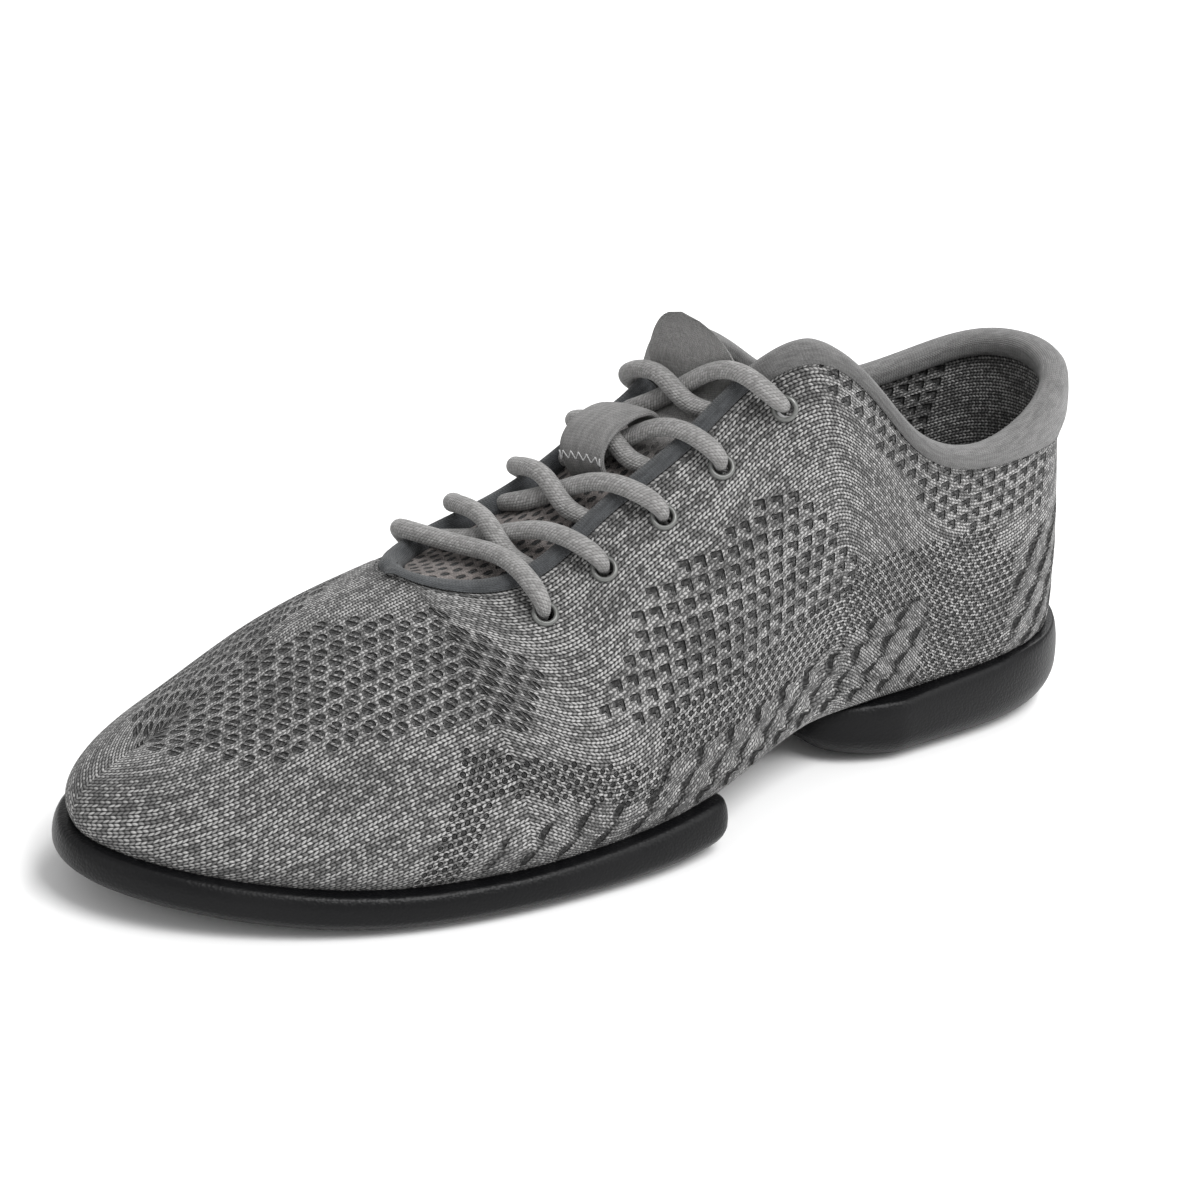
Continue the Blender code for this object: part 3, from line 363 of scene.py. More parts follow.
class Last:
    """The upper's outer surface. side is 1 for lateral and -1 for medial, row runs heel to toe, and level
    runs 0 to 1 over the underside, 1 to 2 round the corner and 2 to 3 up the wall."""

    def __init__(self) -> None:
        """Lays the curves of the foot outline, the opening and the ridge."""
        outer = [(along(f.along), across(f.lateral), *f[4:]) for f in FEET]
        inner = [(along(f.along), across(f.medial), *f[4:]) for f in FEET]
        self.foot = Spline(outer + inner[-2:0:-1], True, 2)
        outer = [(along(t.lateral_along), across(t.lateral_across),
                  HEIGHTS[t.level] * t.lateral_height, t.lean) for t in TOPS]
        inner = [(along(t.medial_along), across(t.medial_across),
                  HEIGHTS[t.level] * t.medial_height, t.lean) for t in TOPS]
        self.opening = Spline(outer[:THROAT_ROW + 1] + inner[THROAT_ROW - 1:0:-1], True, 3)
        self.ridge = Spline(outer[THROAT_ROW:], False, 3)

    def foot_at(self, side: int, row: float) -> tuple[Array, Array]:
        """Foot values of a section and its plan normal.

        Args:
            side: 1 for lateral, -1 for medial.
            row: place along the shoe.

        Returns:
            The values and the outward normal.
        """
        place = row if side > 0 else 2 * LAST_ROW - row
        tangent = unit(self.foot.slope(place)[:2])
        return self.foot.at(place), np.array([-tangent[1], tangent[0]])

    def top_at(self, side: int, row: float) -> tuple[Array, float, float | None]:
        """Top point of a section, its inward lean and the ridge's slope where there is one.

        Args:
            side: 1 for lateral, -1 for medial.
            row: place along the shoe.

        Returns:
            The point, the lean in radians, and the slope or None.
        """
        if row >= THROAT_ROW:
            run = self.ridge.slope(min(row - THROAT_ROW, LAST_ROW - THROAT_ROW - 0.01))
            return self.ridge.at(row - THROAT_ROW)[:3], math.radians(90), run[2] / run[0]
        values = self.opening.at(row if side > 0 else 2 * THROAT_ROW - row)
        return values[:3], math.radians(values[3]), None

    def corner(self, foot: Array, normal: Array, angle: Array) -> Array:
        """Points on the round corner between the underside, at -90 degrees, and the wall."""
        plan = foot + normal * CORNER_RADIUS * (np.cos(angle)[:, None] - 1)
        return np.column_stack([plan, floor_height(plan[:, 0]) + CORNER_RADIUS * (1 + np.sin(angle))])

    def points(self, side: int, row: float, levels: Array) -> Array:
        """Points of one section.

        Args:
            side: 1 for lateral, -1 for medial.
            row: place along the shoe.
            levels: rising places up the section.

        Returns:
            One point for each level.
        """
        values, normal = self.foot_at(side, row)
        foot, lean = values[:2], math.radians(values[2])
        foot_pull, top_pull, arch = values[3], values[4], values[6]
        top, top_lean, ridge_slope = self.top_at(side, row)
        hidden = foot - normal * FLANGE
        at_tape = np.array([foot[0], side * (TAPE_WIDTH / 2 + GAP)])
        inner = hidden + (at_tape - hidden) * float(np.clip(arch, 0, 1))
        start = self.corner(foot, normal, np.array([-lean]))[0]
        start_run = np.array([*(normal * math.sin(lean)), math.cos(lean)])
        plan = unit(unit(top[:2] - foot) * 0.55 - normal * 0.45)
        end_run = np.array([*(plan * math.sin(top_lean)), math.cos(top_lean)])
        if ridge_slope is not None:
            end_run = unit(np.array([*plan, plan[0] * ridge_slope]))
        chord = np.linalg.norm(top - start)
        under = levels[levels < 1]
        plans = inner + (foot - normal * CORNER_RADIUS - inner) * under[:, None]
        turn = levels[(levels >= 1) & (levels < 2)] - 1
        f = (levels[levels >= 2] - 2)[:, None]
        wall = ((1 - f) ** 3 * start + 3 * f * (1 - f) ** 2 * (start + start_run * foot_pull * chord)
                + 3 * f * f * (1 - f) * (top - end_run * top_pull * chord) + f ** 3 * top)
        return np.concatenate([np.column_stack([plans, floor_height(plans[:, 0])]),
                               self.corner(foot, normal, -math.pi / 2 + (math.pi / 2 - lean) * turn), wall])


class Form:
    """Fine grid over the last: a column for each section, up the lateral side and back down the medial."""

    def __init__(self, per_row: int = 16, wall: int = 66) -> None:
        """Samples the last.

        Args:
            per_row: columns for each row of the tables.
            wall: steps up the wall.
        """
        self.last = Last()
        self.per_row = per_row
        self.half = LAST_ROW * per_row
        self.levels = np.concatenate([np.linspace(0, 1, 4), np.linspace(1, 2, 8)[1:],
                                      np.linspace(2, 3, wall + 1)[1:]])
        self.foot_level = int(np.argmin(np.abs(self.levels - 1.75)))
        self.places = [(1, i / per_row) for i in range(self.half + 1)]
        self.places += [(-1, i / per_row) for i in range(self.half - 1, 0, -1)]
        self.sides = np.array([side for side, _ in self.places])
        self.rows = np.array([row for _, row in self.places])
        self.points = np.array([self.last.points(side, row, self.levels) for side, row in self.places])
        self.normals = self.find_normals()
        steps = np.linalg.norm(np.diff(self.points, axis=1), axis=2)
        girth = np.concatenate([np.zeros((len(steps), 1)), np.cumsum(steps, axis=1)], axis=1)
        self.above_foot = girth - girth[:, [self.foot_level]]
        self.below_rim = girth[:, [-1]] - girth
        self.run_foot = self.arc(self.foot_level)
        self.run_middle = self.arc(self.foot_level + (len(self.levels) - self.foot_level) // 2)

    def arc(self, level: int) -> Array:
        """Distance from the heel's back along one level, the same for both sides.

        Args:
            level: number of the level.

        Returns:
            One distance for each column.
        """
        line = self.points[:, level]
        steps = np.linalg.norm(np.roll(line, -1, axis=0) - line, axis=1)
        lateral = np.concatenate([[0], np.cumsum(steps[:self.half])])
        medial = np.concatenate([[0], np.cumsum(steps[self.half:][::-1])])
        mean = (lateral + medial) / 2
        return np.concatenate([mean, mean[1:-1][::-1]])

    def find_normals(self) -> Array:
        """Outward normals of the grid's points.

        Returns:
            An array like the points.
        """
        up = np.gradient(self.points, axis=1)
        run = np.roll(self.points, -1, axis=0) - np.roll(self.points, 1, axis=0)
        for column, (side, row) in enumerate(self.places):
            if row == THROAT_ROW:
                ahead = self.points[column + side] - self.points[column]
                run[column] = ahead * side
        normals = np.cross(up, run)
        length = np.linalg.norm(normals, axis=2)
        normals = unit(normals)
        for level in range(1, len(self.levels)):
            weak = length[:, level] < 1e-9
            normals[weak, level] = normals[weak, level - 1]
        for column in range(THROAT_ROW * self.per_row, self.half + 1):
            other = (2 * self.half - column) % (2 * self.half)
            crest = unit(normals[column, -2] + normals[other, -2])
            normals[column, -1] = normals[other, -1] = crest
        return normals

    def index(self, side: int, row: float) -> tuple[int, int, float]:
        """Columns to either side of a place, and the share between them.

        Args:
            side: 1 for lateral, -1 for medial.
            row: place along the shoe.

        Returns:
            Both column numbers and the share of the second.
        """
        place = row * self.per_row
        low = min(int(math.floor(place + 1e-9)), self.half - 1)
        first, second = low, low + 1
        if side < 0:
            first, second = (2 * self.half - low) % (2 * self.half), 2 * self.half - low - 1
        return first, second, place - low

    def column_below(self, column: int, distance: float) -> tuple[Array, Array]:
        """Point and normal of one column at a distance below its top.

        Args:
            column: number of the column.
            distance: along the wall; a negative one runs past the edge.

        Returns:
            The point and the outward normal.
        """
        if distance <= 0:
            end = unit(self.points[column, -1] - self.points[column, -2])
            return self.points[column, -1] - end * distance, self.normals[column, -1]
        line = self.below_rim[column][::-1]
        point = np.array([np.interp(distance, line, self.points[column, ::-1, k]) for k in range(3)])
        normal = np.array([np.interp(distance, line, self.normals[column, ::-1, k]) for k in range(3)])
        return point, unit(normal)

    def below(self, side: int, row: float, distance: float) -> tuple[Array, Array]:
        """Point and normal at a distance below the top edge.

        Args:
            side: 1 for lateral, -1 for medial.
            row: place along the shoe.
            distance: along the wall, down from the edge.

        Returns:
            The point and the outward normal.
        """
        first, second, share = self.index(side, row)
        one, two = self.column_below(first, distance), self.column_below(second, distance)
        return one[0] + (two[0] - one[0]) * share, unit(one[1] + (two[1] - one[1]) * share)

    def row_at(self, side: int, x: float, distance: float, low: float, high: float) -> float:
        """Row whose point at a distance below the top has the given x.

        Args:
            side: 1 for lateral, -1 for medial.
            x: the wanted place.
            distance: along the wall, down from the edge.
            low, high: rows that it lies between.

        Returns:
            The row.
        """
        for _ in range(24):
            middle = (low + high) / 2
            if self.below(side, middle, distance)[0][0] < x:
                low = middle
            else:
                high = middle
        return (low + high) / 2

    def outline(self) -> Array:
        """The upper's foot outline in plan, as a ring."""
        return self.points[:, self.foot_level, :2]


class Signal:
    """A number socket in a shader, with arithmetic that adds Math nodes."""

    def __init__(self, shader: Shader, socket: bpy.types.NodeSocket) -> None:
        """Wraps one socket of a shader."""
        self.shader, self.socket = shader, socket

    def math(self, operation: str, *others: Signal | float) -> Signal:
        """Result of one Math node on this signal and others."""
        values = {i: value for i, value in enumerate((self, *others))}
        return self.shader.node("ShaderNodeMath", {"operation": operation}, values)

    def __add__(self, other: Signal | float) -> Signal:
        """Sum."""
        return self.math("ADD", other)

    def __sub__(self, other: Signal | float) -> Signal:
        """Difference."""
        return self.math("SUBTRACT", other)

    def __rsub__(self, other: float) -> Signal:
        """Difference from a number."""
        return self.shader.node("ShaderNodeMath", {"operation": "SUBTRACT"}, {0: other, 1: self})

    def __mul__(self, other: Signal | float) -> Signal:
        """Product."""
        return self.math("MULTIPLY", other)

    def __truediv__(self, other: Signal | float) -> Signal:
        """Quotient."""
        return self.math("DIVIDE", other)

    __radd__ = __add__
    __rmul__ = __mul__

    def part(self) -> Signal:
        """Fraction, from 0 to 1."""
        return self.math("FRACT")

    def whole(self) -> Signal:
        """Whole number below."""
        return self.math("FLOOR")

    def size(self) -> Signal:
        """Absolute value."""
        return self.math("ABSOLUTE")

    def low(self, other: Signal | float) -> Signal:
        """The smaller of two."""
        return self.math("MINIMUM", other)

    def high(self, other: Signal | float) -> Signal:
        """The larger of two."""
        return self.math("MAXIMUM", other)

    def squared(self) -> Signal:
        """The signal times itself."""
        return self.math("POWER", 2.0)

    def away(self, place: float) -> Signal:
        """Distance from a place."""
        return (self - place).size()

    def over(self, edge: Signal | float) -> Signal:
        """1 where the signal is above an edge."""
        return self.math("GREATER_THAN", edge)

    def wave(self) -> Signal:
        """Cosine of a whole turn for each unit, from -1 to 1."""
        return (self * math.tau).math("COSINE")

    def ease(self, start: float, end: float, low: float = 0.0, high: float = 1.0) -> Signal:
        """Soft step from low to high between start and end, which may fall."""
        return self.shader.node("ShaderNodeMapRange", {"interpolation_type": "SMOOTHSTEP"},
                                {0: self, 1: start, 2: end, 3: low, 4: high})


class Shader:
    """A material whose nodes are made by one method."""

    def __init__(self, name: str) -> None:
        """Starts a material with a Principled shader and its output."""
        self.material = bpy.data.materials.new(name)
        self.material.use_nodes = True
        self.tree = self.material.node_tree
        self.tree.nodes.clear()
        self.base = self.tree.nodes.new("ShaderNodeBsdfPrincipled")
        output = self.tree.nodes.new("ShaderNodeOutputMaterial")
        self.tree.links.new(self.base.outputs[0], output.inputs[0])

    def put(self, socket: bpy.types.NodeSocket, value: object) -> None:
        """Links a signal to a socket, or sets a plain value on it.

        Args:
            socket: the input.
            value: a signal, a socket or a plain value.
        """
        if isinstance(value, Signal):
            value = value.socket
        if isinstance(value, bpy.types.NodeSocket):
            self.tree.links.new(value, socket)
        else:
            socket.default_value = value

    def node(self, kind: str, settings: dict, values: dict, output: int | str = 0) -> Signal:
        """Adds a node.

        Args:
            kind: the node's type.
            settings: its properties, set first.
            values: socket to value, signal or link.
            output: the output that is returned.

        Returns:
            The output as a signal.
        """
        made = self.tree.nodes.new(kind)
        for key, value in settings.items():
            setattr(made, key, value)
        for key, value in values.items():
            self.put(made.inputs[key], value)
        return Signal(self, made.outputs[output])

    def split(self, vector: Signal) -> tuple[Signal, Signal, Signal]:
        """The three numbers of a vector.

        Args:
            vector: the signal to split.

        Returns:
            One signal for each.
        """
        first = self.node("ShaderNodeSeparateXYZ", {}, {0: vector})
        sockets = first.socket.node.outputs
        return tuple(Signal(self, sockets[i]) for i in range(3))

    def place(self) -> tuple[Signal, Signal, Signal]:
        """Object coordinates."""
        return self.split(self.node("ShaderNodeTexCoord", {}, {}, "Object"))

    def chart(self, name: str) -> tuple[Signal, Signal]:
        """Coordinates of a UV map, in metres."""
        return self.split(self.node("ShaderNodeUVMap", {"uv_map": name}, {}))[:2]

    def vector(self, x: Signal | float, y: Signal | float, z: Signal | float = 0.0) -> Signal:
        """A vector from three numbers."""
        return self.node("ShaderNodeCombineXYZ", {}, {0: x, 1: y, 2: z})

    def noise(self, vector: Signal, scale: float, detail: float = 2.0) -> Signal:
        """Smooth noise round 0.5."""
        values = {"Vector": vector, "Scale": scale, "Detail": detail}
        return self.node("ShaderNodeTexNoise", {}, values, "Fac")

    def chance(self, x: Signal, y: Signal) -> Signal:
        """A fixed random number for each pair of whole numbers."""
        values = {"Vector": self.vector(x, y)}
        return self.node("ShaderNodeTexWhiteNoise", {"noise_dimensions": "2D"}, values, "Value")

    def blend(self, share: Signal | float, first: object, second: object) -> Signal:
        """Colour mixed from first to second."""
        return self.node("ShaderNodeMix", {"data_type": "RGBA"}, {0: share, 6: first, 7: second}, 2)

    def relief(self, height: Signal, depth: float, before: Signal | None = None) -> Signal:
        """Normal bent by a height.

        Args:
            height: from 0 to 1.
            depth: metres from 0 to 1.
            before: a normal already bent.

        Returns:
            The new normal.
        """
        values = {"Strength": 1.0, "Distance": depth, "Height": height}
        if before is not None:
            values["Normal"] = before
        return self.node("ShaderNodeBump", {}, values)

    def finish(self, colour: object, normal: Signal | None = None,
               **others: float | Signal) -> bpy.types.Material:
        """Fills the Principled shader.

        Args:
            colour: value or link of Base Color.
            normal: the bent normal, if any.
            others: values of other sockets, named with _ for a space.

        Returns:
            The finished material.
        """
        self.put(self.base.inputs["Base Color"], colour)
        if normal is not None:
            self.put(self.base.inputs["Normal"], normal)
        for key, value in others.items():
            self.put(self.base.inputs[key.replace("_", " ")], value)
        return self.material


def oval(first: Signal, second: Signal, half_first: float, half_second: float) -> Signal:
    """Distance from the middle of an oval, 1 on its edge.

    Args:
        first, second: offsets from the middle.
        half_first, half_second: half the oval's width and height.

    Returns:
        The distance as a signal.
    """
    return ((first / half_first).squared() + (second / half_second).squared()).math("SQRT")


def grey(level: float, warmth: float = 0.0) -> tuple[float, float, float, float]:
    """A linear grey, warmer or colder by a share."""
    return level * (1 + warmth), level, level * (1 - warmth), 1.0


@dataclass(frozen=True)
class Jersey:
    """Plain knit: slanted stitches in wales, in a mix of light and dark grey yarn."""

    wale: float = 0.00185
    course: float = 0.00104
    # dark is not a yarn: it is the painted shade in the gaps between stitches.
    dark: float = 0.013
    middle: float = 0.180
    light: float = 0.465
    warmth: float = 0.012
    depth: float = 0.00030

    def stitches(self, shader: Shader, u: Signal, v: Signal, fine: float = 1.0) -> tuple[Signal, Signal]:
        """Height and yarn shade of the stitches.

        Args:
            shader: the shader to build in.
            u: metres along the wales.
            v: metres across them.
            fine: a scale on the stitch's size.

        Returns:
            Height from 0 to 1, and a random number for each stitch leg.
        """
        wale, course = self.wale * fine, self.course * fine
        across_wale = v / wale
        leg = across_wale.part().away(0.5)
        lean = u / course + leg * 1.15
        strand = 1 - ((leg - 0.25) * 4).squared()
        lay = 0.5 + 0.5 * (lean - 0.5).wave()
        height = strand.high(0.0) * (0.35 + 0.65 * lay)
        return height, shader.chance(lean.whole(), (across_wale * 2).whole())

    def yarn(self, shader: Shader, height: Signal, chance: Signal, streak: Signal) -> Signal:
        """Colour of the heathered yarn, with painted shade in the gaps between stitches.

        Args:
            shader: the shader to build in.
            height: of the stitches.
            chance: random number of each stitch.
            streak: slow change from 0 to 1.

        Returns:
            The colour.
        """
        tone = chance.ease(0.05, 0.95) * 0.50 + streak * 0.50
        shaded, lit = grey(self.middle * 0.68, self.warmth), grey(self.light * 0.90, self.warmth)
        body = shader.blend(tone.ease(0.15, 0.85), shaded, lit)
        # Painted shade: low stitch height, in the gaps between stitches, goes towards dark.
        return shader.blend(height.ease(0.12, 0.70), grey(self.dark), body)


@dataclass(frozen=True)
class Zone:
    """A region of the knit with straight sides, each (along, up, least): along * x + up * z > least."""

    sides: tuple[tuple[float, float, float], ...]

    def mask(self, first: Signal, second: Signal) -> Signal:
        """1 inside the zone.

        Args:
            first: metres along the shoe.
            second: metres up.

        Returns:
            The mask.
        """
        depth = None
        for a, b, least in self.sides:
            side = first * a + second * b - least
            depth = side if depth is None else depth.low(side)
        return depth.over(0.0)


@dataclass(frozen=True)
class KnitUpper:
    """The upper's knit: jersey with coarse and fine openwork zones, scales and cables."""

    jersey: Jersey = Jersey()
    cell: float = 0.0041
    cell_rise: float = 0.0037
    small: float = 0.0023
    scale_run: float = 0.0098
    scale_rise: float = 0.0065
    scale_lean: float = 0.42
    scale_tier: float = 0.05
    scale_bow: float = 0.9
    scale_start: float = 0.012
    scale_end: float = 0.218
    scale_top: float = 0.0325
    scale_slope: float = 0.20
    plain_start: float = -0.108
    plain_end: float = -0.074
    lens_run: float = 0.0108
    lens_rise: float = 0.0066
    lens_swing: float = 0.21
    arch_foot: float = 0.0015
    arch_top: float = 0.0360
    arch_start: float = 0.070
    arch_end: float = 0.205
    wall_slope: float = 0.16
    small_shape: float = 0.84
    vamp: Zone = Zone(((-0.38, -1, -0.0700), (-1.2, -1, -0.157), (1.92, -1, 0.0505), (0.5, 1, 0.0441)))
    quarter: tuple[Zone, ...] = (
        Zone(((-0.47, -1, -0.0684), (-1.25, -1, -0.0735), (0.0, 1, 0.0395), (0.27, 1, 0.0405),
              (1.33, -1, -0.1295))),
        Zone(((-1.18, 1, 0.1558), (0, 1, 0.0600), (1, 0, -0.1180))),
    )
    openwork: tuple[Zone, ...] = (
        Zone(((0.20, 1, 0.0305), (-0.27, -1, -0.0425), (-1, 0, -0.012), (1, 0, -0.058))),
        Zone(((0.20, 1, 0.0305), (1, 0, -0.0980), (-1, 0, 0.050), (0, -1, -0.0600))),
        Zone(((0.256, -1, -0.0252), (-0.256, 1, 0.0165), (1, 0, 0.012), (-1, 0, -0.062))),
        Zone(((1, 0, -0.105), (-1, 0, 0.077), (0, -1, -0.052), (0, 1, 0.012))),
        Zone(((0.88, 0.475, 0.0628), (-0.88, -0.475, -0.0722), (1, 0, 0.054), (0, -1, -0.0395))),
    )

    def union(self, zones: Iterable[Zone], first: Signal, second: Signal) -> Signal:
        """1 inside any of the zones.

        Args:
            zones: the zones.
            first: metres along the shoe.
            second: metres up.

        Returns:
            The mask.
        """
        found = None
        for zone in zones:
            mask = zone.mask(first, second)
            found = mask if found is None else found.high(mask)
        return found

    def material(self) -> bpy.types.Material:
        """The dressed knit.

        Returns:
            The material, on Object coordinates and the UV maps wrap and foot.
        """
        shader = Shader("upper_knit")
        x, _, z = shader.place()
        u, v = shader.chart("wrap")
        foot, rise = shader.chart("foot")
        drift = shader.noise(shader.vector(u * 90, v * 90), 1.0, 1.0) - 0.5
        girth = v.size()
        height, chance = self.jersey.stitches(shader, u + drift * 0.0007, v)

        cell_u = (x + girth * 0.10 + drift * 0.0011) / self.cell
        cell_v = (girth + drift * 0.0009) / self.cell_rise
        row = cell_v.whole()
        stagger = cell_u + (row * 0.5).part()
        middle_x = (stagger.whole() + 0.5 - (row * 0.5).part()) * self.cell
        vamp = self.vamp.mask(middle_x, (row + 0.5) * self.cell_rise)
        away_u = stagger.part() - 0.5
        away_v = cell_v.part() - 0.5
        ring = oval(away_u, away_v, 0.42, 0.40)
        strand = (away_u + away_v * 0.55 + 0.06).size().ease(0.06, 0.17)
        vamp_hole = ring.ease(1.05, 0.60) * (0.25 + 0.75 * strand)

        wall_u = (x + drift * 0.0010) / self.cell
        wall_v = (z + x * self.wall_slope + drift * 0.0008) / self.cell_rise
        line = wall_v.whole()
        shift = wall_u + line * 0.12
        centre_x = (shift.whole() + 0.5 - line * 0.12) * self.cell
        centre_z = (line + 0.5) * self.cell_rise - centre_x * self.wall_slope
        quarter = self.union(self.quarter, centre_x, centre_z)
        slit = wall_v.part().away(0.70).ease(0.20, 0.07) * shift.part().away(0.45).ease(0.37, 0.22)
        stem = shift.part().away(0.26).ease(0.17, 0.05) * wall_v.part().away(0.50).ease(0.36, 0.16)
        quarter_hole = slit.high(stem)

        dot_u = (x + drift * 0.0005) / self.small
        small_rise = self.small * self.small_shape
        dot_v = (z + x * self.wall_slope + drift * 0.0004) / small_rise
        rank = dot_v.whole()
        offset = dot_u + (rank * 0.5).part()
        dot_x = (offset.whole() + 0.5 - (rank * 0.5).part()) * self.small
        dot_z = (rank + 0.5) * small_rise - dot_x * self.wall_slope
        small_zone = self.union(self.openwork, dot_x, dot_z)
        dots = oval(offset.part() - 0.5, dot_v.part() - 0.5, 0.30, 0.34).ease(1.05, 0.6)

        scale_v = rise / self.scale_rise
        tier = scale_v.whole()
        scale_u = foot / self.scale_run + tier * self.scale_tier + scale_v * self.scale_lean
        side_height = z + x * self.scale_slope
        low_zone = rise.ease(0.0005, 0.0025) * side_height.ease(self.scale_top, self.scale_top - 0.0025)
        low_zone = low_zone * foot.ease(self.scale_start, self.scale_start + 0.018)
        low_zone = low_zone * foot.ease(self.scale_end, self.scale_end - 0.010)
        bow = (scale_v.part() - 0.5).squared() * self.scale_bow
        scale_run = (scale_u + bow).part()
        scale = scale_run.ease(0.0, 0.82) * scale_run.ease(1.0, 0.86)
        eye = oval(scale_run - 0.91, scale_v.part() - 0.55, 0.11, 0.34).ease(1.1, 0.45)

        arch = rise.ease(self.arch_foot, self.arch_foot + 0.002)
        arch = arch * rise.ease(self.arch_top, self.arch_top - 0.004) * v.ease(0.0, 0.001)
        arch = arch * foot.ease(self.arch_start, self.arch_start + 0.010)
        arch = arch * foot.ease(self.arch_end, self.arch_end - 0.013)
        swing = (foot / self.lens_run).wave() * self.lens_swing
        first = (rise / self.lens_rise - swing).part().away(0.5)
        second = (rise / self.lens_rise + swing + 0.5).part().away(0.5)
        rib = (0.5 - first.high(second)) * self.lens_rise
        lens_pit = rib.ease(0.00030, 0.00065) * rib.ease(0.00135, 0.00085)
        lens_form = 1 - rib.ease(0.0002, 0.0009) * rib.ease(0.0019, 0.0010)
        plain_heel = x.ease(self.plain_start, self.plain_start + 0.005)
        plain_heel = plain_heel * x.ease(self.plain_end, self.plain_end - 0.005)
        low_zone = low_zone * (1 - arch) * (1 - plain_heel)
        small_zone = small_zone * (1 - arch)
        vamp, quarter = vamp * (1 - arch), quarter * (1 - arch)

        coarse = (vamp * vamp_hole).high(quarter * quarter_hole).high(arch * lens_pit * 0.72)
        holes = coarse.high(small_zone * dots).high(low_zone * eye)
        bars = vamp.high(quarter)
        streak = shader.noise(shader.vector(u * 55, v * 420), 1.0, 2.0).ease(0.32, 0.70)
        slow = shader.noise(shader.vector(u * 30, v * 90), 1.0, 2.0).ease(0.3, 0.7)
        # bars lift the stitch height in the vamp and quarter zones, so less painted shade falls between their
        # stitches there.
        shade = self.jersey.yarn(shader, height.high(bars * 0.30), chance, streak * 0.6 + slow * 0.4)
        # Painted shade: the openwork holes, the arch's lens pits and the scale eyes are painted near black
        # for the shade inside them.
        colour = shader.blend(holes * 0.80, shade, grey(0.008))
        # seam here is painted shade, not a sewn seam: each scale darkens towards its back and along the edges
        # between tiers, where the relief turns from the light.
        tier_edge = scale_v.part().away(0.5).ease(0.38, 0.5)
        seam = 1 - low_zone * scale_run.ease(0.55, 0.92) * 0.50
        seam = seam * (1 - low_zone * tier_edge * 0.30)
        colour = shader.blend(1 - seam, colour, grey(0.03))
        normal = shader.relief(height * (1 - holes), self.jersey.depth)
        normal = shader.relief((1 - holes) + low_zone * scale * 0.9 + arch * lens_form * 0.6, 0.0012, normal)
        return shader.finish(colour, normal, Roughness=0.92, Sheen_Weight=0.12, Sheen_Roughness=0.5,
                             Specular_IOR_Level=0.2)


@dataclass(frozen=True)
class SmoothJersey:
    """Fine smooth knit of the bindings and the loop, with a little fuzz."""

    name: str
    light: float
    dark: float
    warmth: float = 0.0
    pitch: float = 0.00085

    def material(self) -> bpy.types.Material:
        """The dressed knit on the UV map wrap."""
        shader = Shader(self.name)
        u, v = shader.chart("wrap")
        height, chance = Jersey(wale=self.pitch, course=self.pitch * 0.9).stitches(shader, u, v)
        cloud = shader.noise(shader.vector(u * 260, v * 900), 1.0, 2.0).ease(0.3, 0.7)
        tone = chance * 0.35 + cloud * 0.65
        colour = shader.blend(tone, grey(self.dark, self.warmth), grey(self.light, self.warmth))
        # Painted shade: the gaps between stitches are darkened towards dark * 0.4.
        colour = shader.blend(height.ease(0.0, 0.5) * 0.5 + 0.5, grey(self.dark * 0.4, self.warmth), colour)
        normal = shader.relief(height, 0.00016)
        return shader.finish(colour, normal, Roughness=0.88, Sheen_Weight=0.18, Sheen_Roughness=0.45,
                             Specular_IOR_Level=0.25)


@dataclass(frozen=True)
class SpacerMesh:
    """The tongue's spacer mesh with elongated holes, fading to fine knit at the free end."""

    run: float = 0.0034
    rise: float = 0.0021
    mesh_end: float = 0.0880
    rose_dark: tuple[float, float, float, float] = (0.155, 0.135, 0.128, 1)
    rose_light: tuple[float, float, float, float] = (0.29, 0.255, 0.24, 1)

    def material(self) -> bpy.types.Material:
        """The dressed mesh on the UV map wrap."""
        shader = Shader("tongue_mesh")
        u, v = shader.chart("wrap")
        _, _, z = shader.place()
        row = (v / self.rise).whole()
        cell = u / self.run + (row * 0.5).part()
        away_u, away_v = cell.part() - 0.5, (v / self.rise).part() - 0.5
        hole = oval(away_u, away_v, 0.36, 0.27).ease(1.1, 0.7)
        hole = hole * z.ease(self.mesh_end + 0.003, self.mesh_end - 0.003)
        height, chance = Jersey(wale=0.0007, course=0.00065).stitches(shader, u, v)
        tint = z.ease(self.mesh_end - 0.006, self.mesh_end + 0.006)
        warm = shader.blend(chance, self.rose_dark, self.rose_light)
        plain = shader.blend(chance, grey(0.20, 0.02), grey(0.34, 0.02))
        colour = shader.blend(tint, warm, plain)
        # Painted shade in the gaps between stitches.
        colour = shader.blend(height.ease(0.0, 0.4), grey(0.05), colour)
        # Painted shade: the mesh holes are painted near black for the shade inside them.
        colour = shader.blend(hole, colour, grey(0.015))
        normal = shader.relief(height, 0.00018)
        normal = shader.relief(1 - hole, 0.0008, normal)
        return shader.finish(colour, normal, Roughness=0.9, Sheen_Weight=0.15, Sheen_Roughness=0.5)


@dataclass(frozen=True)
class LaceWeave:
    """Round woven cord: fine ribs across, with a diagonal braid."""

    pitch: float = 0.00080

    def material(self) -> bpy.types.Material:
        """The dressed cord; UV is metres along and turns round."""
        shader = Shader("lace_weave")
        u, v = shader.chart("wrap")
        strand = v * 20
        turn = u / self.pitch + strand * 0.5
        braid = turn.part() - 0.5
        cross = strand.part() - 0.5
        height = (1 - (braid * 2).squared()) * (1 - (cross * 2).squared() * 0.75)
        chance = shader.chance(turn.whole(), strand.whole())
        fuzz = shader.noise(shader.vector(u * 900, v * 14), 1.0, 3.0)
        tone = (chance * 0.30 + fuzz * 0.70).ease(0.25, 0.75)
        colour = shader.blend(tone, grey(0.175, 0.020), grey(0.300, 0.015))
        # Painted shade in the grooves between the braid's strands.
        colour = shader.blend(height.ease(0.0, 0.40), grey(0.10, 0.015), colour)
        return shader.finish(colour, shader.relief(height, 0.00018), Roughness=0.85, Sheen_Weight=0.2,
                             Sheen_Roughness=0.4)


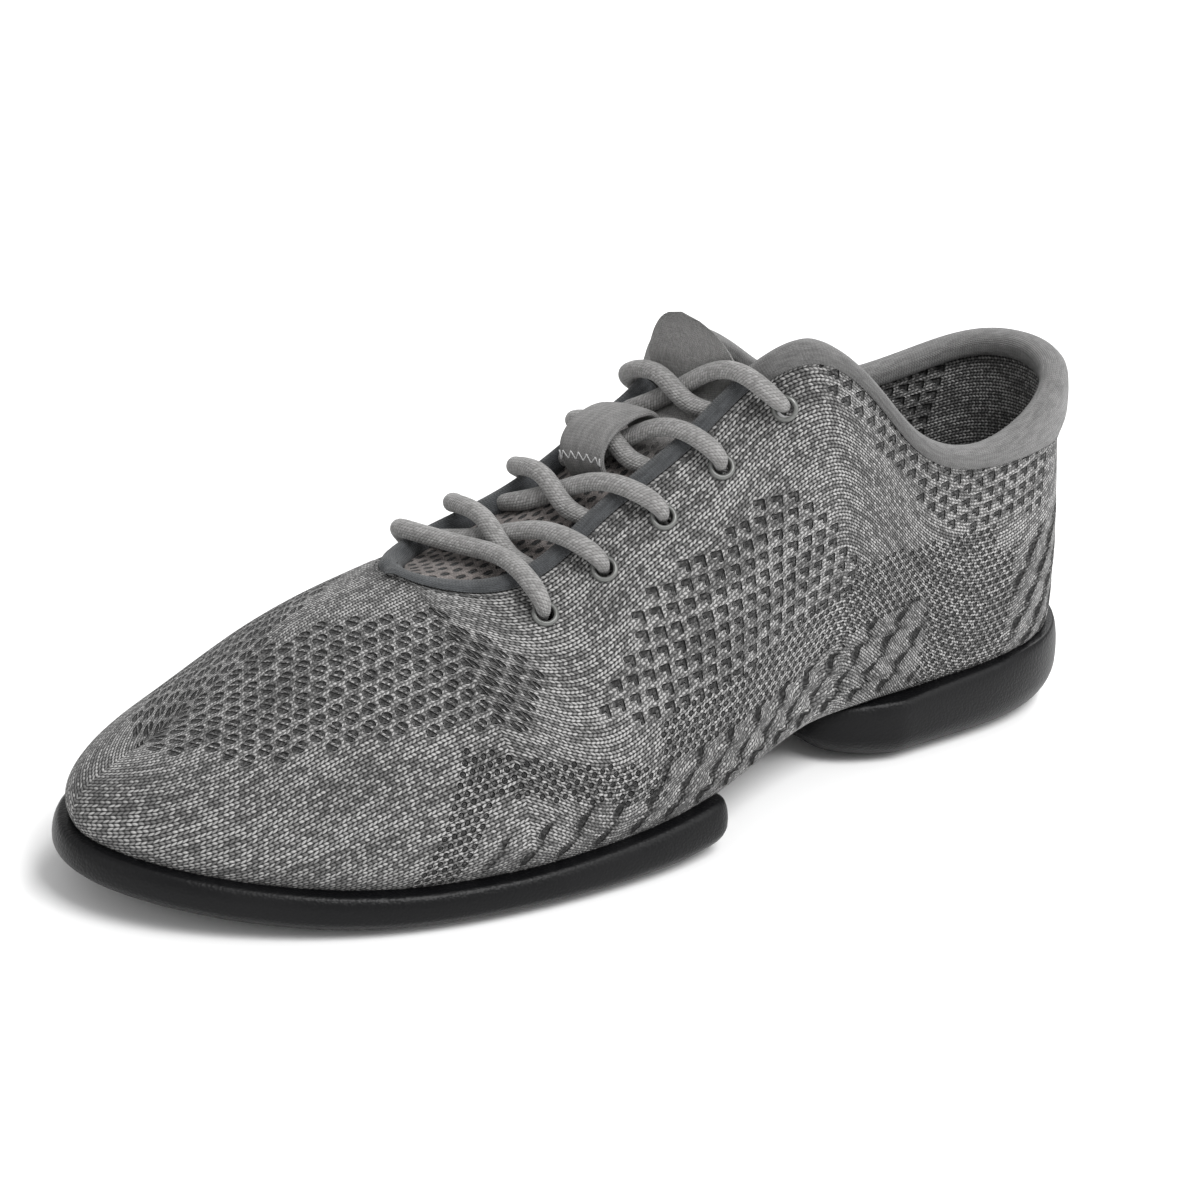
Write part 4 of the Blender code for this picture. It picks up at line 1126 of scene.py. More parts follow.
@dataclass(frozen=True)
class PebbledRubber:
    """Black moulded rubber: fine pebble grain, a soft shine and dusty scuffs on the ground face."""

    clean: tuple[float, float, float, float] = (0.0018, 0.0019, 0.0024, 1)
    dusty: tuple[float, float, float, float] = (0.007, 0.007, 0.0075, 1)
    pebbles: float = 1500.0
    grains: float = 2600.0

    def material(self) -> bpy.types.Material:
        """The dressed rubber on Object coordinates."""
        shader = Shader("pad_rubber")
        x, y, z = shader.place()
        spot = shader.vector(x, y, z)
        pebble = shader.node("ShaderNodeTexVoronoi", {"feature": "SMOOTH_F1"},
                             {"Vector": spot, "Scale": self.pebbles, "Smoothness": 0.6}, "Distance")
        grain = shader.noise(spot, self.grains, 2.0)
        scuff = shader.noise(shader.vector(x * 60, y * 420, z * 300), 1.0, 4.0).ease(0.62, 0.80)
        low = z.ease(0.004, 0.0005)
        dust = shader.noise(spot, 55.0, 4.0).ease(0.45, 0.75)
        colour = shader.blend(dust * 0.35 + scuff * low * 0.3, self.clean, self.dusty)
        rough = 0.37 + 0.12 * dust + 0.15 * scuff * low + 0.08 * grain
        normal = shader.relief(1 - pebble * 1.2 + grain * 0.2, 0.00008)
        return shader.finish(colour, normal, Roughness=rough, Specular_IOR_Level=0.20, Coat_Weight=0.02,
                             Coat_Roughness=0.25)


@dataclass(frozen=True)
class PaintedMetal:
    """Light grey paint on pressed metal, slightly worn."""

    paint: tuple[float, float, float, float] = (0.135, 0.138, 0.132, 1)
    worn: tuple[float, float, float, float] = (0.085, 0.085, 0.082, 1)

    def material(self) -> bpy.types.Material:
        """The dressed metal on Object coordinates."""
        shader = Shader("eyelet_paint")
        x, y, z = shader.place()
        spot = shader.vector(x, y, z)
        wear = shader.noise(spot, 900.0, 3.0).ease(0.62, 0.78)
        colour = shader.blend(wear, self.paint, self.worn)
        normal = shader.relief(shader.noise(spot, 3000.0, 2.0), 0.00002)
        return shader.finish(colour, normal, Roughness=0.34 + 0.2 * wear, Metallic=0.25, Coat_Weight=0.25,
                             Coat_Roughness=0.25)


@dataclass(frozen=True)
class WovenTape:
    """Ribbed tape's yarn and the insole's cloth: plain weave with a tone of its own."""

    name: str
    light: float
    dark: float
    pitch: float = 0.0006

    def material(self) -> bpy.types.Material:
        """The dressed weave on Object coordinates."""
        shader = Shader(self.name)
        x, y, z = shader.place()
        over = ((x / self.pitch).wave() * (y / self.pitch).wave()) * 0.5 + 0.5
        chance = shader.chance((x / self.pitch).whole(), (y / self.pitch).whole())
        cloud = shader.noise(shader.vector(x, y, z), 180.0, 3.0)
        colour = shader.blend((chance * 0.4 + over * 0.3 + cloud * 0.3).ease(0.2, 0.8), grey(self.dark),
                              grey(self.light))
        return shader.finish(colour, shader.relief(over, 0.00012), Roughness=0.9, Sheen_Weight=0.15)


def thread(name: str, level: float) -> bpy.types.Material:
    """Sewing thread of one grey, with fine twist.

    Args:
        name: the material's name.
        level: its linear grey.

    Returns:
        The material.
    """
    shader = Shader(name)
    x, y, z = shader.place()
    twist = shader.noise(shader.vector(x, y, z), 2200.0, 2.0)
    colour = shader.blend(twist, grey(level * 0.7), grey(level * 1.2))
    return shader.finish(colour, shader.relief(twist, 0.00005), Roughness=0.7)


class Side(Enum):
    """The two sides of the shoe."""

    LATERAL = 1
    MEDIAL = -1


def make(name: str, points: Sequence, faces: Sequence, finish: bpy.types.Material,
         maps: dict[str, Array] | None = None, weld: float = 0.0) -> bpy.types.Object:
    """Makes a mesh object at the origin.

    Args:
        name: the object's name.
        points: vertices in metres.
        faces: vertex numbers of each face, facing out.
        finish: its material.
        maps: for each UV map, one (u, v) for each face corner in order.
        weld: distance under which vertices are merged.

    Returns:
        The new object.
    """
    mesh = bpy.data.meshes.new(name)
    mesh.from_pydata([tuple(map(float, p)) for p in points], [], [tuple(map(int, f)) for f in faces])
    for key, values in (maps or {}).items():
        layer = mesh.uv_layers.new(name=key)
        layer.data.foreach_set("uv", np.asarray(values, float).ravel())
    if weld:
        work = bmesh.new()
        work.from_mesh(mesh)
        bmesh.ops.remove_doubles(work, verts=work.verts, dist=weld)
        bmesh.ops.dissolve_degenerate(work, edges=work.edges, dist=weld / 2)
        bmesh.ops.recalc_face_normals(work, faces=work.faces)
        if work.calc_volume(signed=True) < 0:
            bmesh.ops.reverse_faces(work, faces=work.faces)
        work.to_mesh(mesh)
        work.free()
    mesh.materials.append(finish)
    mesh.shade_smooth()
    made = bpy.data.objects.new(name, mesh)
    bpy.context.scene.collection.objects.link(made)
    return made


def sweep(name: str, rings: Array, finish: bpy.types.Material, chart: Array | None = None,
          closed: bool = False) -> bpy.types.Object:
    """Skin over a run of closed rings, with a cap at each end unless the run closes on itself.

    Args:
        name: the object's name.
        rings: array of rings of points.
        finish: its material.
        chart: (u, v) of each point, with one more point round each ring, and one more ring if closed.
        closed: True for a run that closes on itself.

    Returns:
        The new object.
    """
    count, size = len(rings), len(rings[0])
    faces, corners = [], []
    for i in range(count if closed else count - 1):
        for j in range(size):
            faces.append((i * size + j, i * size + (j + 1) % size,
                          (i + 1) % count * size + (j + 1) % size, (i + 1) % count * size + j))
            corners += [(i, j), (i, j + 1), (i + 1, j + 1), (i + 1, j)]
    points = [p for ring in rings for p in ring]
    if not closed:
        for end in (0, count - 1):
            middle = len(points)
            points.append(np.mean(rings[end], axis=0))
            for j in range(size):
                faces.append((end * size + (j + 1) % size, end * size + j, middle))
                corners += [(end, j + 1), (end, j), (end, j)]
    maps = None if chart is None else {"wrap": np.array([chart[i][j] for i, j in corners])}
    return make(name, points, faces, finish, maps, weld=1e-7)


def ring_chart(rings: Array) -> Array:
    """Distances along and round a run of rings, in metres.

    Args:
        rings: the rings of points.

    Returns:
        (u, v) of each point, with one more round each ring.
    """
    rings = np.asarray(rings)
    centres = rings.mean(axis=1)
    along_run = np.concatenate([[0], np.cumsum(np.linalg.norm(np.diff(centres, axis=0), axis=1))])
    closed = np.concatenate([rings, rings[:, :1]], axis=1)
    around = np.cumsum(np.linalg.norm(np.diff(closed, axis=1), axis=2), axis=1).mean(axis=0)
    around = np.concatenate([[0], around])
    return np.stack(np.broadcast_arrays(along_run[:, None], around[None]), 2)


def ride(made: bpy.types.Object, slot: str, *nodes: str) -> None:
    """Parents a finished piece to the root body and hides the CAD nodes that it replaces.

    Args:
        made: the piece.
        slot: the record's material slot; not used.
        nodes: CAD nodes that it replaces.
    """
    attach(made, "root")
    if nodes:
        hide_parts(*nodes)
    LOG.info("%s: %d faces", made.name, len(made.data.polygons))


@dataclass
class Stitching:
    """Short stitches or ribs repeated along a path by Geometry Nodes."""

    pitch: float = 0.0022
    length: float = 0.0016
    thickness: float = 0.00035

    def tree(self) -> bpy.types.NodeTree:
        """Node tree that resamples the path, lays a capsule at each point, realises and dresses them.

        Returns:
            The tree, with the sizes and the finish as named inputs.
        """
        tree = bpy.data.node_groups.new("stitches_along_path", "GeometryNodeTree")
        panel = tree.interface
        panel.new_socket("Geometry", in_out="INPUT", socket_type="NodeSocketGeometry")
        for name in ("Pitch", "Length", "Thickness"):
            panel.new_socket(name, in_out="INPUT", socket_type="NodeSocketFloat")
        panel.new_socket("Finish", in_out="INPUT", socket_type="NodeSocketMaterial")
        panel.new_socket("Geometry", in_out="OUTPUT", socket_type="NodeSocketGeometry")

        def add(kind: str, values: dict, **settings: str) -> bpy.types.Node:
            """Adds a node.

            Args:
                kind: the node's type.
                values: input to plain value or link.
                settings: its properties, set first.

            Returns:
                The node.
            """
            made = tree.nodes.new(kind)
            for key, value in settings.items():
                setattr(made, key, value)
            for key, value in values.items():
                if isinstance(value, bpy.types.NodeSocket):
                    tree.links.new(value, made.inputs[key])
                else:
                    made.inputs[key].default_value = value
            return made

        given = add("NodeGroupInput", {}).outputs
        path = add("GeometryNodeMeshToCurve", {"Mesh": given["Geometry"]})
        spots = add("GeometryNodeCurveToPoints", {"Curve": path.outputs[0], "Length": given["Pitch"]},
                    mode="LENGTH")
        ball = add("GeometryNodeMeshUVSphere", {"Segments": 8, "Rings": 5, "Radius": 0.5})
        size = add("ShaderNodeCombineXYZ", {0: given["Thickness"], 1: given["Thickness"], 2: given["Length"]})
        shaped = add("GeometryNodeTransform", {"Geometry": ball.outputs["Mesh"], "Scale": size.outputs[0]})
        laid = add("GeometryNodeInstanceOnPoints", {"Points": spots.outputs["Points"],
                                                    "Instance": shaped.outputs[0],
                                                    "Rotation": spots.outputs["Rotation"]})
        real = add("GeometryNodeRealizeInstances", {0: laid.outputs[0]})
        dressed = add("GeometryNodeSetMaterial", {"Geometry": real.outputs[0], "Material": given["Finish"]})
        add("NodeGroupOutput", {0: dressed.outputs[0]})
        return tree

    def lay(self, name: str, paths: Sequence[Array], finish: bpy.types.Material) -> bpy.types.Object:
        """Runs the tree over paths.

        Args:
            name: the piece's name.
            paths: lines of points in metres.
            finish: the thread's material.

        Returns:
            The plain mesh object.
        """
        points, edges = [], []
        for path in paths:
            start = len(points)
            points += [tuple(map(float, p)) for p in path]
            edges += [(start + i, start + i + 1) for i in range(len(path) - 1)]
        mesh = bpy.data.meshes.new(name + "_path")
        mesh.from_pydata(points, edges, [])
        made = bpy.data.objects.new(name, mesh)
        bpy.context.scene.collection.objects.link(made)
        tree = self.tree()
        modifier = made.modifiers.new("stitches", "NODES")
        modifier.node_group = tree
        keys = {item.name: item.identifier for item in tree.interface.items_tree if item.in_out == "INPUT"}
        sizes = {"Pitch": self.pitch, "Length": self.length, "Thickness": self.thickness, "Finish": finish}
        for key, value in sizes.items():
            modifier[keys[key]] = value
        graph = bpy.context.evaluated_depsgraph_get()
        result = bpy.data.meshes.new_from_object(made.evaluated_get(graph))
        made.modifiers.clear()
        made.data = result
        result.shade_smooth()
        return made


@dataclass
class Upper:
    """The hollow knitted upper with its relief and eyelet holes."""

    form: Form
    relief_depth: float = 0.00085
    crease_depth: float = 0.0011

    def relief(self) -> Array:
        """Height of creases, cables and scales over the form.

        Returns:
            Metres for each grid point.
        """
        form = self.form
        x, y, z = (form.points[:, :, k] for k in range(3))
        rise = form.above_foot
        below = form.below_rim
        foot = np.repeat(form.run_foot[:, None], rise.shape[1], 1)
        side = np.repeat(form.sides[:, None], rise.shape[1], 1)
        knit = KnitUpper()
        low = smooth((rise - 0.0008) / 0.002) * smooth((knit.scale_top - z - x * knit.scale_slope) / 0.003)
        low = low * smooth((foot - knit.scale_start) / 0.02) * smooth((knit.scale_end - foot) / 0.01)
        tier = np.floor(rise / knit.scale_rise)
        bow = (rise / knit.scale_rise - tier - 0.5) ** 2 * knit.scale_bow
        lean = tier * knit.scale_tier + rise / knit.scale_rise * knit.scale_lean
        share = (foot / knit.scale_run + lean + bow) % 1.0
        scale = smooth(share / 0.8) * smooth((1 - share) / 0.16)
        arch = smooth((rise - knit.arch_foot) / 0.002) * smooth((knit.arch_top - rise) / 0.004) * (side < 0)
        arch = arch * smooth((foot - knit.arch_start) / 0.010) * smooth((knit.arch_end - foot) / 0.013)
        swing = knit.lens_swing * np.sin(foot / knit.lens_run * math.tau)
        first = np.abs((rise / knit.lens_rise - swing) % 1.0 - 0.5)
        second = np.abs((rise / knit.lens_rise + swing + 0.5) % 1.0 - 0.5)
        rib = (0.5 - np.maximum(first, second)) * knit.lens_rise
        lens = 1 - smooth(rib / 0.0009) * smooth((0.0021 - rib) / 0.0010)
        plain = smooth((x - knit.plain_start) / 0.005) * smooth((knit.plain_end - x) / 0.005)
        low = low * (1 - arch) * (1 - plain)
        height = self.relief_depth * (low * (scale - 0.35) + arch * (lens - 0.5))
        waist = smooth((foot - 0.070) / 0.02) * smooth((0.175 - foot) / 0.03)
        cable = np.cos((rise + 0.0014 * np.sin(foot / 0.0098 * math.tau)) / knit.scale_rise * math.tau)
        height += self.relief_depth * 0.6 * waist * low * cable
        for place, lean, width, deep, top, end in CREASES:
            line = x - place - (z - 0.05) * lean
            span = smooth((rise - top) / 0.012) * smooth((end - rise) / 0.015)
            bulge = 0.55 * hump(line, -1.5 * width, 1.4 * width)
            height += self.crease_depth * deep * span * (bulge - hump(line, 0.0, width))
        seat = smooth(1 - rise / 0.006) * smooth((x + 0.14) / 0.01)
        height -= 0.0002 * seat
        band = hump(below, 0.0115, 0.010) * smooth((x + 0.05) / 0.02) * smooth((0.06 - x) / 0.02)
        height += 0.00035 * band * np.cos((x - 0.031) / 0.0165 * math.tau) * (side > 0)
        height[:, :form.foot_level - 3] = 0
        return height * smooth(below / 0.004)

    def build(self, eyelets: Sequence[Eyelet], finish: bpy.types.Material) -> bpy.types.Object:
        """Builds the shell.

        Args:
            eyelets: places of the holes.
            finish: the knit's material.

        Returns:
            The upper.
        """
        form = self.form
        skin = form.points + form.normals * self.relief()[:, :, None]
        lining = form.points - form.normals * WALL
        count, height = skin.shape[:2]
        rows, run, foot = form.rows, form.run_middle, form.run_foot
        faces, wrap, low = [], [], []
        total = count * height
        for i in range(count):
            j = (i + 1) % count
            sign = -1.0 if i < form.half else 1.0
            for level in range(height - 1):
                ring = ((i, level), (i, level + 1), (j, level + 1), (j, level))
                for offset, order in ((0, ring), (total, ring[::-1])):
                    faces.append([offset + a * height + b for a, b in order])
                    wrap += [(run[a], sign * form.below_rim[a, b]) for a, b in order]
                    low += [(foot[a], form.above_foot[a, b]) for a, b in order]
            ends = [(i, j, 0)]
            if max(rows[i], rows[j]) <= THROAT_ROW:
                ends.append((j, i, height - 1))
            for a, c, b in ends:
                faces.append([a * height + b, c * height + b, total + c * height + b, total + a * height + b])
                wrap += [(run[a], sign * form.below_rim[a, b])] * 4
                low += [(foot[a], form.above_foot[a, b])] * 4
        points = np.concatenate([skin.reshape(-1, 3), lining.reshape(-1, 3)])
        made = make("knit_upper", points, faces, finish, {"wrap": wrap, "foot": low}, weld=2e-6)
        self.punch(made, eyelets)
        return made

    def punch(self, made: bpy.types.Object, eyelets: Sequence[Eyelet]) -> None:
        """Cuts the eyelet holes.

        Args:
            made: the upper.
            eyelets: their places.
        """
        work = bmesh.new()
        for eyelet in eyelets:
            bmesh.ops.create_cone(work, cap_ends=True, segments=28, radius1=EYELET_BARREL + 0.0001,
                                  radius2=EYELET_BARREL + 0.0001, depth=6 * WALL, matrix=eyelet.matrix())
        mesh = bpy.data.meshes.new("eyelet_punch")
        work.to_mesh(mesh)
        work.free()
        cutter = bpy.data.objects.new("eyelet_punch", mesh)
        bpy.context.scene.collection.objects.link(cutter)
        cut = made.modifiers.new("holes", "BOOLEAN")
        cut.operation, cut.solver, cut.object = "DIFFERENCE", "EXACT", cutter
        graph = bpy.context.evaluated_depsgraph_get()
        result = bpy.data.meshes.new_from_object(made.evaluated_get(graph))
        made.modifiers.clear()
        made.data = result
        bpy.data.objects.remove(cutter)


@dataclass
class Eyelet:
    """Place of one eyelet on the wall, and its pressed ring."""

    form: Form
    side: Side
    index: int
    row: float = 0.0
    point: Array = field(default_factory=lambda: np.zeros(3))
    normal: Array = field(default_factory=lambda: np.zeros(3))
    edge: Array = field(default_factory=lambda: np.zeros(3))
    edge_normal: Array = field(default_factory=lambda: np.zeros(3))

    def __post_init__(self) -> None:
        """Finds the place below the throat edge."""
        share = FIRST_EYELET + (LAST_EYELET - FIRST_EYELET) * self.index / (EYELET_COUNT - 1)
        share += MEDIAL_SHIFT if self.side is Side.MEDIAL else 0
        self.row = self.form.row_at(self.side.value, along(share), EYELET_INSET, COLLAR_ROW - 1.5, THROAT_ROW)
        self.point, self.normal = self.form.below(self.side.value, self.row, EYELET_INSET)
        self.edge, self.edge_normal = self.form.below(self.side.value, self.row, 0)

    def matrix(self) -> Matrix:
        """Turns +Z to the wall's normal and moves to the place."""
        turn = Vector(self.normal).to_track_quat("Z", "Y").to_matrix().to_4x4()
        return Matrix.Translation(Vector(self.point)) @ turn

    def profile(self) -> list[tuple[float, float]]:
        """Cross-section of the ring, a rolled flange and a barrel.

        Returns:
            Its corners as (radius, height).
        """
        crown = [(EYELET_HOLE + 0.0001 + 0.00062 * (1 - math.cos(a)),
                  EYELET_SEAT + 0.0004 + 0.00040 * math.sin(a)) for a in np.linspace(-0.4, math.pi / 2, 6)]
        slope = [(EYELET_OUTER - 0.00016, EYELET_SEAT + 0.00042), (EYELET_OUTER, EYELET_SEAT + 0.0002),
                 (EYELET_OUTER - 0.00005, EYELET_SEAT - 0.0004), (EYELET_BARREL, EYELET_SEAT - 0.0004)]
        return [(EYELET_HOLE, -WALL - 0.0002)] + crown + slope + [(EYELET_BARREL, -WALL - 0.0002)]

    def rings(self, segments: int = 40) -> Array:
        """The ring's sections round its axis.

        Args:
            segments: how many.

        Returns:
            An array of sections.
        """
        turned = []
        place = np.array(self.matrix())
        for k in range(segments):
            a = math.tau * k / segments
            ring = np.array([(r * math.cos(a), r * math.sin(a), h, 1.0) for r, h in self.profile()])
            turned.append((ring @ place.T)[:, :3])
        return np.array(turned)


@dataclass
class Throat:
    """Places over the gap between the eyelet rows, and on the tongue under it."""

    form: Form

    def pair(self, row: float) -> tuple[Array, Array, Array, Array]:
        """Lateral edge, medial edge, their middle and the way up there."""
        lateral, up_lateral = self.form.below(1, row, 0)
        medial, up_medial = self.form.below(-1, row, 0)
        return lateral, medial, (lateral + medial) / 2, unit(up_lateral + up_medial)

    def half(self, row: float) -> float:
        """Half the gap between the edges at a row."""
        lateral, medial, _, _ = self.pair(row)
        return float(np.linalg.norm(lateral - medial)) / 2

    def tongue(self, row: float, offset: float) -> tuple[Array, Array]:
        """Point and normal on the tongue's outer face.

        Args:
            row: place along the shoe.
            offset: metres across from the centre line, to the lateral side.

        Returns:
            The point and the outward normal.
        """
        lateral, medial, middle, up = self.pair(row)
        side, edge = (1, lateral) if offset >= 0 else (-1, medial)
        gap = float(np.linalg.norm(lateral - medial)) / 2
        sink, distance = WALL + 3 * GAP, abs(offset)
        if distance > gap:
            point, normal = self.form.below(side, row, distance - gap)
            return point - normal * sink, normal
        share = distance / gap if gap > 1e-5 else 0.0
        edge_up = self.form.below(side, row, 0)[1]
        crown = TONGUE_CROWN * min(1.0, gap / TONGUE_CROWN / 4) * (1 - share ** 2) ** 2
        normal = unit(up + (edge_up - up) * share)
        return middle + (edge - middle) * share - normal * sink + up * crown, normal


@dataclass
class Tongue:
    """Padded tongue with a rounded free end, and the keeper loop on it."""

    throat: Throat
    extra: float = 0.0035
    twist: float = math.radians(20)
    front_row: float = 11.5
    free_row: float = 7.25
    sections: int = 60

    def build(self, finish: bpy.types.Material) -> bpy.types.Object:
        """Builds the tongue from under the vamp to its free end.

        Args:
            finish: its material.

        Returns:
            The tongue.
        """
        rows = np.linspace(self.front_row, self.free_row, self.sections)
        widths = monotone(((7.25, 0.43), (7.5, 0.58), (7.75, 0.78), (8.0, 0.94), (8.5, 1.0), (10.5, 1.0),
                           (11.0, 0.91), (11.5, 0.87)), rows)
        shares = np.sin(np.linspace(-math.pi / 2, math.pi / 2, 31))
        rings = []
        for row, width in zip(rows, widths):
            pairs = [self.throat.tongue(row, share * width * TONGUE_HALF_WIDTH) for share in shares]
            thin = TONGUE_THICKNESS * (0.35 + 0.65 * (1 - np.abs(shares) ** 6))
            top = [p for p, _ in pairs]
            under = [p - n * t for (p, n), t in zip(pairs, thin)]
            rings.append(top + under[::-1])
        root = np.array(rings[-1])
        middle = root[len(shares) // 2]
        facing = self.throat.tongue(self.free_row, 0)[1]
        level = np.concatenate([np.zeros(len(shares)), -thin[::-1]])
        thickness = level[:, None] * facing
        spread = root - middle - thickness
        turned = (-math.sin(self.twist), math.cos(self.twist), 0)
        line = np.outer(shares * widths[-1] * TONGUE_HALF_WIDTH, turned)
        line = line - np.outer(shares ** 2 * 0.0012, facing)
        fair = np.concatenate([line, line[::-1]])
        rise = unit(np.array([TONGUE_TILT, 0, 1]))
        for share in np.linspace(0.04, 1.0, 22):
            leaf = (1 + 0.50 * float(smooth(share / 0.42))) * (1 - 0.20 * share)
            narrow = max(1 - share ** 3.2, 0.0) ** 0.5 * leaf * 0.98 + 0.02
            curl = np.array([1.0, 0.0, 0.0]) * 0.0050 * share ** 2
            plump = (1.25 + 0.35 * math.sin(math.pi * share)) * (1 - share ** 6) ** 0.5 * (1 - 0.35 * share)
            lifted = rise * (TONGUE_RISE + self.extra) * share + curl
            across_it = spread + (fair - spread) * smooth(share / 0.4)
            rings.append(list(middle + across_it * narrow + thickness * max(plump, 0.05) + lifted))
        rings = np.array(rings)
        return sweep("tongue_pad", rings, finish, ring_chart(rings))

    def loop_rings(self, eyelets: dict[Side, list[Eyelet]]) -> Array:
        """Sections of the keeper loop across its width.

        Args:
            eyelets: places of both rows.

        Returns:
            The sections from edge to edge.
        """
        rows = [eyelets[side][index].row for side in Side for index in (2, 3)]
        middle = sum(rows) / 4
        step = self.throat.tongue(middle + 0.5, 0)[0] - self.throat.tongue(middle - 0.5, 0)[0]
        pace = np.linalg.norm(step)
        clear = WALL + LACE_DIAMETER + 12 * GAP
        turn = np.linspace(0, math.pi, 33)
        reach = -np.cos(turn)
        lift = np.sin(turn) ** 0.62
        rings = []
        for share in (-0.5, -0.492, -0.46, -0.3, -0.15, 0.0, 0.15, 0.3, 0.46, 0.492, 0.5):
            under, over = [], []
            for shift, height in zip(reach, lift):
                for run, grow in ((under, 0.0), (over, LOOP_THICKNESS)):
                    place = middle + shift * (LOOP_REACH + grow) / pace
                    point, normal = self.throat.tongue(place, share * LOOP_WIDTH * 1.12)
                    run.append(point + normal * (0.0002 + (clear + grow) * height))
            rings.append(under + over[::-1])
        return np.array(rings)


@dataclass
class Binding:
    """Padded collar binding with the heel crescent, or the roll round the throat."""

    form: Form

    def fold(self, outside: float, inside: float, thick: float) -> list[tuple[float, float]]:
        """Rounded cross-section, from outside to inside.

        Args:
            outside: how far it reaches down the outside.
            inside: how far it reaches down the lining.
            thick: its thickness.

        Returns:
            Points as (distance below the rim, height off the wall).
        """
        seat = BINDING_GAP
        skin = []
        reach = min(4.5 * thick, outside * 0.55)
        for t in np.linspace(0, 1, 8):
            skin.append((outside - reach * t, seat + thick * math.sin(t * math.pi / 2) ** 1.15))
        skin += [((outside - reach) * f, seat + thick * (1 + 0.08 * math.sin(math.pi * f)))
                 for f in (0.72, 0.44, 0.18)]
        centre = -WALL / 2
        reach = WALL / 2 + seat + thick
        for a in np.linspace(math.pi / 2, -math.pi / 2, 9):
            skin.append((-reach * 0.72 * math.cos(a), centre + reach * math.sin(a)))
        skin += [(inside * f, -WALL - seat - thick * (1 - 0.2 * f)) for f in (0.4, 0.8)]
        skin += [(inside, -WALL - seat * 0.6), (inside * 0.5, -WALL - seat * 0.5), (-GAP, -WALL - seat * 0.5),
                 (-GAP, seat * 0.6), (outside * 0.5, seat * 0.5)]
        return skin

    def collar(self, finish: bpy.types.Material) -> bpy.types.Object:
        """Builds the collar binding.

        Args:
            finish: its material.

        Returns:
            The binding.
        """
        form = self.form
        columns = list(range(COLLAR_ROW * form.per_row, -1, -1))
        columns += [2 * form.half - c for c in range(1, COLLAR_ROW * form.per_row + 1)]
        rings = []
        for column in columns:
            row = form.rows[column % (2 * form.half)]
            swell = float(smooth(1 - row / 3.2))
            path = self.fold(BINDING_DEPTH + (CRESCENT_DEPTH - BINDING_DEPTH) * swell, BINDING_DEPTH,
                             BINDING_THICKNESS + CRESCENT_EXTRA * swell)
            ring = []
            for distance, offset in path:
                point, normal = form.column_below(column % (2 * form.half), distance)
                ring.append(point + normal * offset)
            rings.append(ring)
        return sweep("collar_roll", rings, finish, ring_chart(rings))

    def throat(self, finish: bpy.types.Material) -> bpy.types.Object:
        """Builds the roll round the throat.

        Args:
            finish: its material.

        Returns:
            The roll.
        """
        path = self.fold(BINDING_DEPTH * 0.7, 0.0012, BINDING_THICKNESS * 0.75)
        rings = np.array(self.edge_rings(path))
        return sweep("throat_roll", rings, finish, ring_chart(rings))

    def edge_rings(self, path: Sequence[tuple[float, float]]) -> list[list[Array]]:
        """Sections square to the throat edge.

        Args:
            path: points as (distance below the rim, height off the wall).

        Returns:
            One section for each column of the edge.
        """
        form = self.form
        first, last = COLLAR_ROW * form.per_row + 1, THROAT_ROW * form.per_row
        columns = list(range(first, last + 1)) + [2 * form.half - c for c in range(last - 1, first - 1, -1)]
        edges = np.array([form.points[c, -1] for c in columns])
        normals = np.array([form.normals[c, -1] for c in columns])
        for _ in range(3):
            normals[1:-1] = unit(normals[:-2] + 2 * normals[1:-1] + normals[2:])
        runs = unit(np.gradient(edges, axis=0))
        inward = unit(np.cross(normals, runs))
        flip = np.sign(((edges - edges.mean(axis=0)) * inward).sum(axis=1))
        inward *= np.where(flip == 0, 1, flip)[:, None]
        return [[edge + inwards * distance + normal * offset for distance, offset in path]
                for edge, normal, inwards in zip(edges, normals, inward)]


